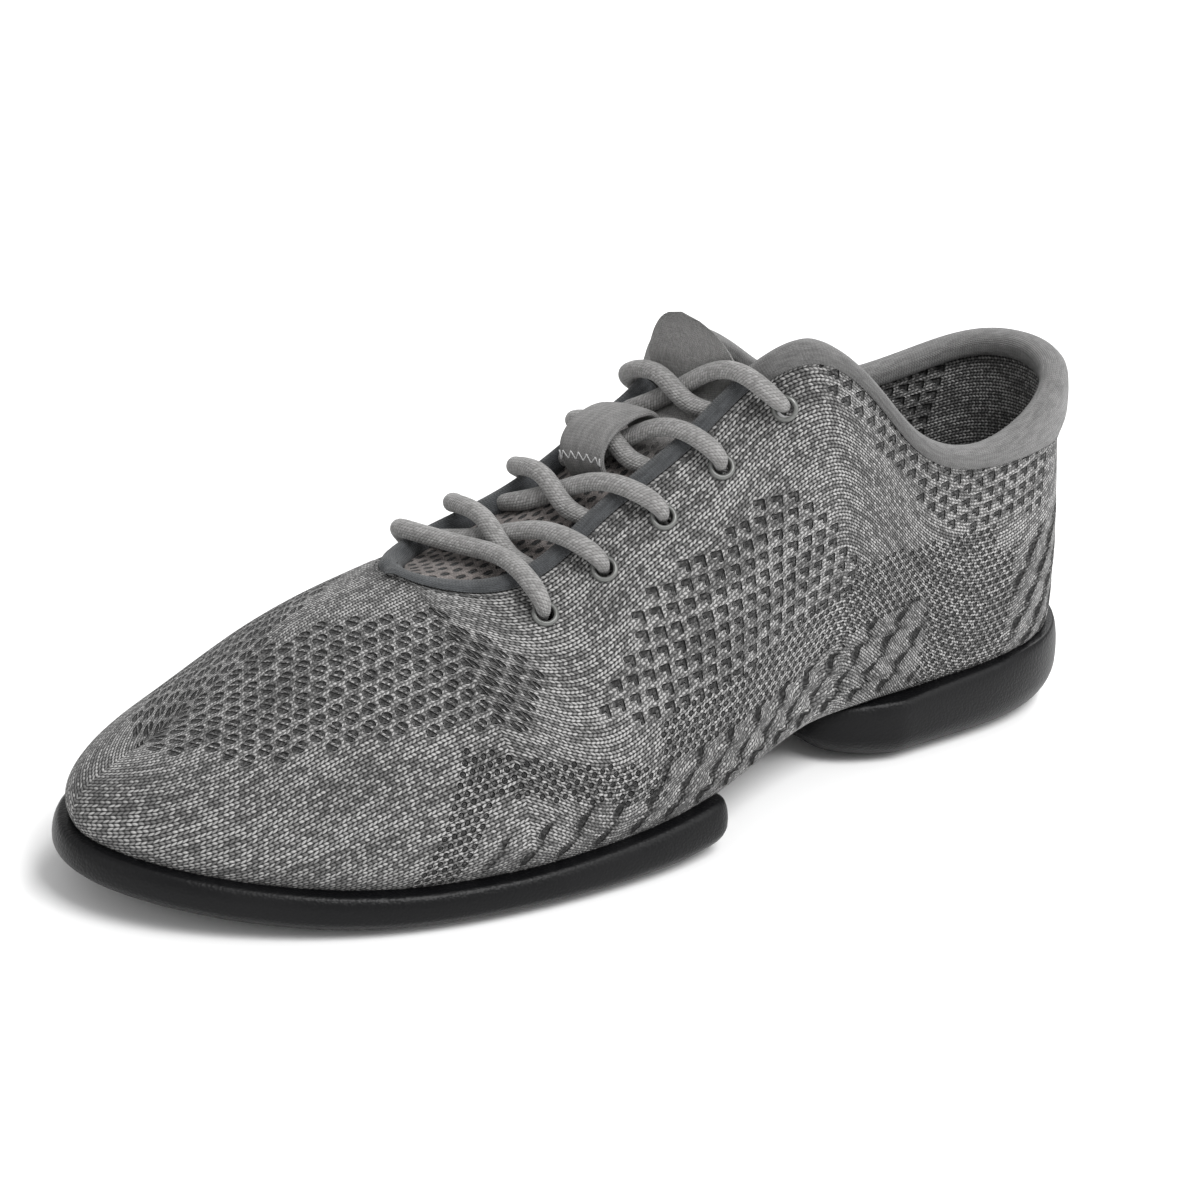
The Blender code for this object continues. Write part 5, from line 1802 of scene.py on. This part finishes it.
@dataclass
class Pad:
    """One moulded rubber pad with its rings, arcs and seat."""

    form: Form
    name: str
    plan: PadPlan
    forward: bool
    arcs: tuple[tuple[float, float, float], ...]
    spokes: int = 300
    ground_rings: int = 110

    def edge(self) -> tuple[Array, Array, Array]:
        """The pad's outermost edge.

        Returns:
            Plan points, lip shares, and 1 where the edge follows the wall.
        """
        last, plan = self.form.last, self.plan
        top = LAST_ROW if self.forward else 0
        sides = []
        for side, leave in ((1, plan.lateral_row), (-1, plan.medial_row)):
            run = []
            for row in np.linspace(leave, top, 90):
                values, normal = last.foot_at(side, float(row))
                run.append((*(values[:2] + normal * (SOLE_LIP + GAP)), values[5], 1.0))
            sides.append(run)
        edge = sides[0] + sides[1][-2::-1]
        start, end = np.array(edge[-1]), np.array(edge[0])
        corners = [np.array([along(c[0]), across(c[1])]) for c in (plan.corner_medial, plan.corner_lateral)]
        rim = unit(corners[1] - corners[0])
        outward = np.array([-1.0, 0.0]) if self.forward else np.array([1.0, 0.0])
        turn = [corners[0] + rim * across(0.22), corners[1] - rim * across(0.22)]

        def bend(first: Array, corner: Array, second: Array, f: float) -> Array:
            """Point on a rounded corner."""
            return (1 - f) ** 2 * first + 2 * f * (1 - f) * corner + f * f * second

        for f in np.linspace(0, 1, 24)[1:]:
            edge.append((*bend(start[:2], corners[0], turn[0], f), start[2], 1 - smooth(f)))
        for f in np.linspace(0, 1, 24)[1:-1]:
            bow = outward * plan.bow * UPPER_LENGTH * 2 * f * (1 - f)
            edge.append((*(turn[0] + (turn[1] - turn[0]) * f + bow), 0.0, 0.0))
        for f in np.linspace(0, 1, 24)[:-1]:
            edge.append((*bend(turn[1], corners[1], end[:2], f), end[2], smooth(f)))
        ring = np.array(edge + edge[:1], float)
        lengths = np.concatenate([[0], np.cumsum(np.linalg.norm(np.diff(ring[:, :2], axis=0), axis=1))])
        places = np.linspace(0, lengths[-1], self.spokes + 1)[:-1]
        ring = np.stack([np.interp(places, lengths, ring[:, k]) for k in range(4)], 1)
        for _ in range(5):
            ring = (np.roll(ring, 1, axis=0) + 2 * ring + np.roll(ring, -1, axis=0)) / 4
        return ring[:, :2], ring[:, 2], ring[:, 3]

    def inside(self, plan: Array) -> Array:
        """Signed plan distance inside the upper's outline.

        Args:
            plan: plan points.

        Returns:
            Metres, negative outside.
        """
        start = self.form.outline()[::2]
        run = np.roll(start, -1, axis=0) - start
        offset = plan[:, None] - start[None]
        share = np.clip((offset * run).sum(2) / (run * run).sum(1), 0, 1)
        distance = np.linalg.norm(offset - run * share[:, :, None], axis=2).min(axis=1)
        above = (start[None, :, 1] > plan[:, None, 1]) != (np.roll(start[:, 1], -1)[None] > plan[:, None, 1])
        with np.errstate(divide="ignore", invalid="ignore"):
            hits = start[:, 0] + run[:, 0] * (plan[:, None, 1] - start[:, 1]) / run[:, 1] > plan[:, None, 0]
        return np.where(np.count_nonzero(above & hits, axis=1) % 2, distance, -distance)

    def seat(self, plan: Array) -> Array:
        """Height of the upper's underside and round corner over plan points, less the gap.

        Args:
            plan: plan points.

        Returns:
            Height at each point.
        """
        depth = self.inside(plan)
        low = floor_height(plan[:, 0])
        inner = (CORNER_RADIUS + GAP) ** 2 - (CORNER_RADIUS - np.maximum(depth, 0.02 * CORNER_RADIUS)) ** 2
        rounded = low + CORNER_RADIUS - np.sqrt(np.maximum(inner, 0))
        return np.where(depth >= CORNER_RADIUS, low - GAP, rounded)

    def tread(self, plan: Array) -> Array:
        """Depth of dimple, ring grooves and arcs at plan points.

        Args:
            plan: plan points.

        Returns:
            Depth at each point.
        """
        pivot = np.array([along(self.plan.pivot_along), across(self.plan.pivot_across)])
        offset = plan - pivot
        radius = np.linalg.norm(offset, axis=1)
        depth = DIMPLE_DEPTH * smooth(1 - radius / DIMPLE_RADIUS) ** 0.7
        half = GROOVE_WIDTH / 2
        for ring in (INNER_RING, OUTER_RING):
            depth += GROOVE_DEPTH * smooth(1.25 * (1 - np.abs(radius - ring) / half / 1.15))
        bearing = np.degrees(np.arctan2(offset[:, 1], offset[:, 0])) % 360
        for ring, start, end in self.arcs:
            middle, reach = (start + end) / 2, (end - start) / 2
            off = np.abs((bearing - middle + 180) % 360 - 180)
            past = np.maximum(off - reach, 0) * math.pi / 180 * ring
            away = np.hypot(radius - ring, past)
            depth += GROOVE_DEPTH * smooth(1.25 * (1 - away / half / 1.15))
        return depth

    def build(self, finish: bpy.types.Material) -> bpy.types.Object:
        """Builds the pad.

        Args:
            finish: its material.

        Returns:
            The pad.
        """
        plans, lip, wall = self.edge()
        pivot = np.array([along(self.plan.pivot_along), across(self.plan.pivot_across)])
        runs = np.roll(plans, -1, axis=0) - np.roll(plans, 1, axis=0)
        normals = unit(np.stack([-runs[:, 1], runs[:, 0]], 1))
        normals *= np.sign(((plans - pivot) * normals).sum(1))[:, None]
        reach = ((plans - pivot) * normals).sum(1)

        def inset(depth: Array | float) -> Array:
            """Plan points moved in towards the pivot by an edge distance."""
            return plans + (pivot - plans) * np.minimum(depth / reach, 1)[:, None]

        base = ground_height(plans[:, 0])
        low = floor_height(plans[:, 0]) - GAP
        crest = low + (lip * CORNER_RADIUS + GAP) * wall
        middle = base + 0.5 * (crest - base)
        rim = inset(EDGE_ROUND)
        rings = []
        for share in np.linspace(0, 1, self.ground_rings + 1)[1:] ** 0.9:
            plan = pivot + (rim - pivot) * share
            rings.append(np.column_stack([plan, ground_height(plan[:, 0]) + self.tread(plan)]))
        for a in np.radians(np.linspace(82, 6, 11)):
            plan = inset(EDGE_ROUND * (1 - math.cos(a)))
            rings.append(np.column_stack([plan, middle - (middle - ground_height(plan[:, 0])) * math.sin(a)]))
        for a in np.radians(np.linspace(8, 90, 8)):
            plan = inset(LIP_CROWN * (1 - math.cos(a)))
            height = middle + (crest - middle) * math.sin(a)
            rings.append(np.column_stack([plan, np.minimum(height, self.seat(plan))]))
        flat = SOLE_LIP + GAP + CORNER_RADIUS * 1.02
        for f in np.linspace(0, 1, 10)[1:]:
            plan = inset(LIP_CROWN + (flat - LIP_CROWN) * f)
            rings.append(np.column_stack([plan, np.minimum(self.seat(plan), np.maximum(crest, low))]))
        seat_rim = rings[-1][:, :2]
        for share in (0.84, 0.66, 0.48, 0.26):
            plan = pivot + (seat_rim - pivot) * share
            rings.append(np.column_stack([plan, floor_height(plan[:, 0]) - GAP]))
        count = len(plans)
        points = [p for ring in rings for p in ring]
        starts = [(i * count, j, (j + 1) % count) for i in range(len(rings) - 1) for j in range(count)]
        faces = [(start + j, start + k, start + count + k, start + count + j) for start, j, k in starts]
        ends = ((0, float(ground_height(pivot[0])) + DIMPLE_DEPTH),
                ((len(rings) - 1) * count, float(floor_height(pivot[0])) - GAP))
        for start, height in ends:
            points.append((*pivot, height))
            faces += [(start + j, start + (j + 1) % count, len(points) - 1) for j in range(count)]
        return make(self.name, points, faces, finish, weld=1e-7)


@dataclass
class Lacing:
    """One lace: a bar over the first pair, then two halves that cross up to the top pair."""

    throat: Throat
    eyelets: dict[Side, list[Eyelet]]
    turns: int = 20
    spacing: float = 0.0007
    ease: int = 5

    def knots(self, first: Side) -> list[tuple[Array, float, float]]:
        """Route of the half that leaves the bar on a side.

        Args:
            first: side where it leaves the bar.

        Returns:
            Knots as (point, width share, height share).
        """
        radius = LACE_DIAMETER / 2
        lift = EYELET_SEAT + 0.0018
        bar = [self.eyelets[side][0] for side in (Side(-first.value), first)]
        middle = (bar[0].edge + bar[1].edge) / 2 + np.array([0, 0, radius * 1.5])
        knots = [(middle, 1.0, 1.0)]
        here = bar[1]
        rise = GAP + BINDING_THICKNESS + radius * 0.93
        knots.append((here.edge + here.edge_normal * rise, 1.0, 1.0))
        knots += self.into(here, lift)
        for index in range(1, EYELET_COUNT):
            side = here.side
            there = self.eyelets[Side(-side.value)][index]
            mates = (here, there, self.eyelets[here.side][index], self.eyelets[there.side][index - 1])
            middle_row = sum(mate.row for mate in mates) / 4
            lean = EYELET_INSET / (EYELET_INSET + self.throat.half(middle_row))
            row = here.row + (middle_row - here.row) * (lean + 0.12)
            half = self.throat.half(row)
            outer, out_up = self.throat.tongue(row, side.value * (half + 0.0010))
            knots.append((outer + out_up * (radius * 0.55), 0.8, 0.35))
            start, up = self.throat.tongue(row, side.value * (half - 0.0055))
            start = start + up * (radius + GAP)
            knots.append((start, 1.0, 0.95))
            rim_row = there.row + (middle_row - there.row) * lean
            rim, rim_up = self.throat.form.below(there.side.value, rim_row, 0)
            top = rim + rim_up * rise
            centre, normal = self.throat.tongue(middle_row, 0)
            stretched = float(np.dot((start + top) / 2 - centre, normal))
            over = 1.0 if there.side is Side.MEDIAL else -1.0
            height = max(stretched, 2 * radius + GAP) + over * (radius - 0.0001)
            knots.append((centre + normal * height, 1.0, 0.92))
            knots.append((top, 1.0, 1.0))
            knots += self.into(there, lift)
            here = there
        return knots

    def into(self, eyelet: Eyelet, lift: float) -> list[tuple[Array, float, float]]:
        """Knots that take the lace down through an eyelet and in under the wall.

        Args:
            eyelet: the eyelet.
            lift: height of the bend over the wall.

        Returns:
            Knots as (point, width share, height share).
        """
        inward = unit(eyelet.edge - eyelet.point)
        above = eyelet.point + eyelet.normal * lift + inward * 0.0012
        within = eyelet.point - eyelet.normal * 0.0006 + inward * 0.0005
        inside = eyelet.point - eyelet.normal * (WALL + 0.0010) + inward * 0.0006
        return [(above, 0.82, 0.86), (within, 0.64, 0.74), (inside, 0.66, 0.45)]

    def build(self, finish: bpy.types.Material) -> bpy.types.Object:
        """Builds the lace as one tube from top eyelet to top eyelet.

        Args:
            finish: its material.

        Returns:
            The lace.
        """
        halves = [self.knots(side) for side in (Side.LATERAL, Side.MEDIAL)]
        route = halves[0][::-1] + halves[1][1:]
        packed = np.array([(*p, w, h) for p, w, h in route])
        line = Spline(packed, False, 3).run(self.spacing)
        for _ in range(self.ease):
            line[1:-1] = (line[:-2] + 2 * line[1:-1] + line[2:]) / 4
        tangents = unit(np.gradient(line[:, :3], axis=0))
        side = unit(np.cross(tangents[0], (0.0, 0.0, 1.0)))
        radius = LACE_DIAMETER / 2
        angles = np.linspace(0, math.tau, self.turns, endpoint=False)
        rings = []
        for tangent, row in zip(tangents, line):
            side = unit(side - tangent * np.dot(side, tangent))
            other = np.cross(tangent, side)
            wide = radius * float(np.clip(row[3], 0.6, 1.05))
            rings.append([row[:3] + wide * (side * math.cos(a) + other * math.sin(a)) for a in angles])
        rings = np.array(rings)
        chart = ring_chart(rings)
        chart[:, :, 1] = np.linspace(0, 1, self.turns + 1)[None]
        return sweep("lace", rings, finish, chart)


@dataclass
class Footbed:
    """Thin footbed with a rounded rim."""

    form: Form

    def build(self, finish: bpy.types.Material) -> bpy.types.Object:
        """Builds the footbed from sections across.

        Args:
            finish: its material.

        Returns:
            The footbed.
        """
        radius = CORNER_RADIUS - WALL - GAP
        rise = WALL + GAP
        rings = []
        for row in np.linspace(0.3, 15.4, 90):
            ends = []
            for side in (1, -1):
                values, normal = self.form.last.foot_at(side, float(row))
                edge = []
                for angle in (-90, -62, -38, -24):
                    a = math.radians(angle)
                    plan = values[:2] + normal * (radius * math.cos(a) - CORNER_RADIUS - 3 * GAP)
                    low = float(floor_height(plan[0])) + rise
                    edge.append(np.array([*plan, low + min(radius * (1 + math.sin(a)), INSOLE_THICKNESS)]))
                ends.append(edge)
            lateral, medial = ends
            ring = list(lateral)
            for f in np.linspace(0, 1, 9)[1:-1]:
                point = lateral[-1] + (medial[-1] - lateral[-1]) * f
                ring.append(np.array([*point[:2], float(floor_height(point[0])) + rise + INSOLE_THICKNESS
                                      - 0.0006 * math.sin(math.pi * f)]))
            ring += medial[::-1]
            rings.append(ring)
        return sweep("footbed", np.array(rings), finish)


@dataclass
class ArchTape:
    """Ribbed tape between the pads, with a row of stitches on either side."""

    start: float = 0.305
    end: float = 0.585
    rib_pitch: float = 0.0016
    rib_depth: float = 0.00030
    sections: int = 480

    def path(self, offset: float, drop: float) -> Array:
        """Line along the arch at an offset across and a drop below the underside."""
        xs = np.linspace(along(self.start), along(self.end), 160)
        return np.column_stack([xs, np.full_like(xs, offset), floor_height(xs) - drop])

    def build(self, finish: bpy.types.Material) -> bpy.types.Object:
        """Builds the ribbed strip.

        Args:
            finish: its material.

        Returns:
            The tape.
        """
        half = TAPE_WIDTH / 2
        ys = (-half, -half * 0.94, -half * 0.4, half * 0.4, half * 0.94, half)
        rings = []
        for x in np.linspace(along(self.start), along(self.end), self.sections):
            low = float(floor_height(x))
            rib = self.rib_depth * (0.5 + 0.5 * math.cos(math.tau * x / self.rib_pitch))
            under = [np.array([x, y, low + 0.0001 - rib * (0.0 if abs(y) == half else 1.0)]) for y in ys]
            over = [np.array([x, y, low + TAPE_THICKNESS]) for y in (half, -half)]
            rings.append(under + over)
        return sweep("arch_tape_ribbed", np.array(rings), finish)


@dataclass
class Studio:
    """Pale floor, soft lights and the camera at the photograph's angle."""

    azimuth: float = 34.14
    elevation: float = 25.84
    roll: float = 3.0
    distance: float = 0.80
    lens: float = 99.0
    target: tuple[float, float, float] = (0.0, 0.0, 0.048)
    floor_reach: float = 4.0
    floor_level: float = -0.0002
    daylight: float = 0.62

    def camera(self) -> None:
        """Sets the camera."""
        a, e, r = (math.radians(v) for v in (self.azimuth, self.elevation, self.roll))
        back = Vector((math.sin(a) * math.cos(e), math.cos(a) * math.cos(e), math.sin(e)))
        right = (-back).cross(Vector((0, 0, 1))).normalized()
        up = right.cross(-back)
        right, up = right * math.cos(r) + up * math.sin(r), up * math.cos(r) - right * math.sin(r)
        place = Matrix((right, up, back)).transposed().to_4x4()
        place.translation = Vector(self.target) + back * self.distance
        data = bpy.data.cameras.new("camera")
        data.sensor_width, data.lens, data.clip_start = 36.0, self.lens, 0.01
        camera = bpy.data.objects.new("camera", data)
        camera.matrix_world = place
        bpy.context.scene.collection.objects.link(camera)
        bpy.context.scene.camera = camera

    def light(self, name: str, place: tuple[float, float, float], size: float, power: float) -> None:
        """Adds one square area light that faces the shoe.

        Args:
            name: its name.
            place: where it hangs.
            size: side in metres.
            power: in watts.
        """
        data = bpy.data.lights.new(name, "AREA")
        data.size, data.energy = size, power
        lamp = bpy.data.objects.new(name, data)
        lamp.location = place
        lamp.rotation_euler = (Vector(place) - Vector(self.target)).to_track_quat("Z", "Y").to_euler()
        bpy.context.scene.collection.objects.link(lamp)

    def build(self) -> None:
        """Builds floor, light and world."""
        shader = Shader("studio_floor")
        corners = [(x * self.floor_reach, y * self.floor_reach, self.floor_level)
                   for x, y in ((-1, -1), (1, -1), (1, 1), (-1, 1))]
        pale = shader.finish(grey(0.93), Roughness=0.9, Specular_IOR_Level=0.1)
        floor = make("floor", corners, [(0, 1, 2, 3)], pale)
        world = bpy.data.worlds.new("studio")
        world.use_nodes = True
        sky = world.node_tree.nodes["Background"]
        sky.inputs["Color"].default_value = (1.0, 1.0, 1.0, 1.0)
        sky.inputs["Strength"].default_value = self.daylight
        bpy.context.scene.world = world
        bpy.context.scene.view_settings.view_transform = "Standard"
        self.light("key", (-0.10, 0.75, 1.15), 0.6, 15.0)
        self.light("rim", (-0.9, -0.5, 0.9), 0.6, 9.0)
        self.light("front", (1.1, 0.1, 0.5), 0.6, 1.2)
        self.light("heel", (-0.75, 0.85, 0.55), 0.5, 3.2)
        self.camera()


@dataclass
class Sneaker:
    """The whole shoe."""

    form: Form = field(default_factory=Form)

    def eyelets(self) -> dict[Side, list[Eyelet]]:
        """Places of both eyelet rows."""
        return {side: [Eyelet(self.form, side, i) for i in range(EYELET_COUNT)] for side in Side}

    def build(self) -> None:
        """Builds every piece and parents it to the root body."""
        form = self.form
        eyelets = self.eyelets()
        listed = eyelets[Side.LATERAL] + eyelets[Side.MEDIAL]
        throat = Throat(form)
        jersey = SmoothJersey("collar_jersey", 0.215, 0.125, 0.010)
        ride(Upper(form).build(listed, KnitUpper().material()), "knit", "upper")
        rubber = PebbledRubber().material()
        front = Pad(form, "forefoot_pad", FOREFOOT, True, FOREFOOT_ARCS)
        rear = Pad(form, "heel_pad", HEEL, False, HEEL_ARCS, spokes=260, ground_rings=70)
        ride(front.build(rubber), "rubber", "forefoot_sole")
        ride(rear.build(rubber), "rubber", "heel_sole")
        ride(ArchTape().build(WovenTape("arch_weave", 0.20, 0.09).material()), "tape", "arch_tape")
        cloth = WovenTape("footbed_cloth", 0.09, 0.045, 0.0009).material()
        ride(Footbed(form).build(cloth), "footbed", "insole")
        tongue = Tongue(throat)
        ride(tongue.build(SpacerMesh().material()), "knit", "tongue")
        binding = Binding(form)
        ride(binding.collar(jersey.material()), "binding", "collar_binding")
        roll = SmoothJersey("throat_jersey", 0.085, 0.045, -0.055).material()
        ride(binding.throat(roll), "throat_roll", "throat_binding")
        paint = PaintedMetal().material()
        for side, name in ((Side.LATERAL, "lateral"), (Side.MEDIAL, "medial")):
            for number, eyelet in enumerate(eyelets[side], 1):
                ring = sweep(f"eyelet_ring_{name}_{number}", eyelet.rings(), paint, closed=True)
                ride(ring, "eyelet_metal", f"eyelet_{name}_{number}")
        lace = Lacing(throat, eyelets).build(LaceWeave().material())
        ride(lace, "lace", "lace_bar_1", "lace_cross_2", "lace_cross_3", "lace_cross_4", "lace_cross_5")
        rings = tongue.loop_rings(eyelets)
        strap = SmoothJersey("loop_jersey", 0.235, 0.145, 0.015).material()
        last = rings.shape[1] - 1
        bands = np.array([[*rings[:, i], *rings[::-1, last - i]] for i in range((last + 1) // 2)])
        ride(sweep("keeper_loop", bands, strap, ring_chart(bands)), "binding", "tongue_loop")
        self.stitch(binding, rings)

    def stitch(self, binding: Binding, loop: Array) -> None:
        """Lays the sewing: round the throat, along the tape and in a zigzag on the loop.

        Args:
            binding: the throat's binding.
            loop: sections of the keeper loop.
        """
        dark = thread("dark_thread", 0.05)
        pale = thread("pale_thread", 0.55)
        seam = binding.edge_rings([(BINDING_DEPTH * 0.95, 0.00035)])
        line = even(np.array([ring[0] for ring in seam]), 0.001)
        ride(Stitching(0.0030, 0.0021, 0.00045).lay("throat_stitches", [line], dark), "throat_roll")
        tape = ArchTape()
        paths = [tape.path(side * (TAPE_WIDTH / 2 + 0.0010), 0.00005) for side in (1, -1)]
        middling = thread("tape_thread", 0.10)
        ride(Stitching(0.0028, 0.0019, 0.00045).lay("tape_stitches", paths, middling), "tape")
        half = loop.shape[1] // 2
        crest = loop[:, half:]
        zigzag = []
        for i, share in enumerate(np.linspace(0.04, 0.96, 15)):
            at = min(int(share * (len(crest) - 1)), len(crest) - 2)
            ring, after = crest[at], crest[at + 1]
            f = share * (len(crest) - 1) % 1.0
            place = 5 if i % 2 else 3
            up = unit(ring[place] - loop[0, half - 1 - place])
            zigzag.append(ring[place] + (after[place] - ring[place]) * f + up * 0.0002)
        ride(Stitching(0.00042, 0.0006, 0.00034).lay("loop_zigzag", [even(np.array(zigzag), 0.0003)], pale),
             "binding")


def main() -> None:
    """Loads the frame, builds the shoe round it and sets the studio."""
    logging.basicConfig(level=logging.INFO, format="%(message)s")
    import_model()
    Sneaker().build()
    Studio().build()


if __name__ == "__main__":
    main()
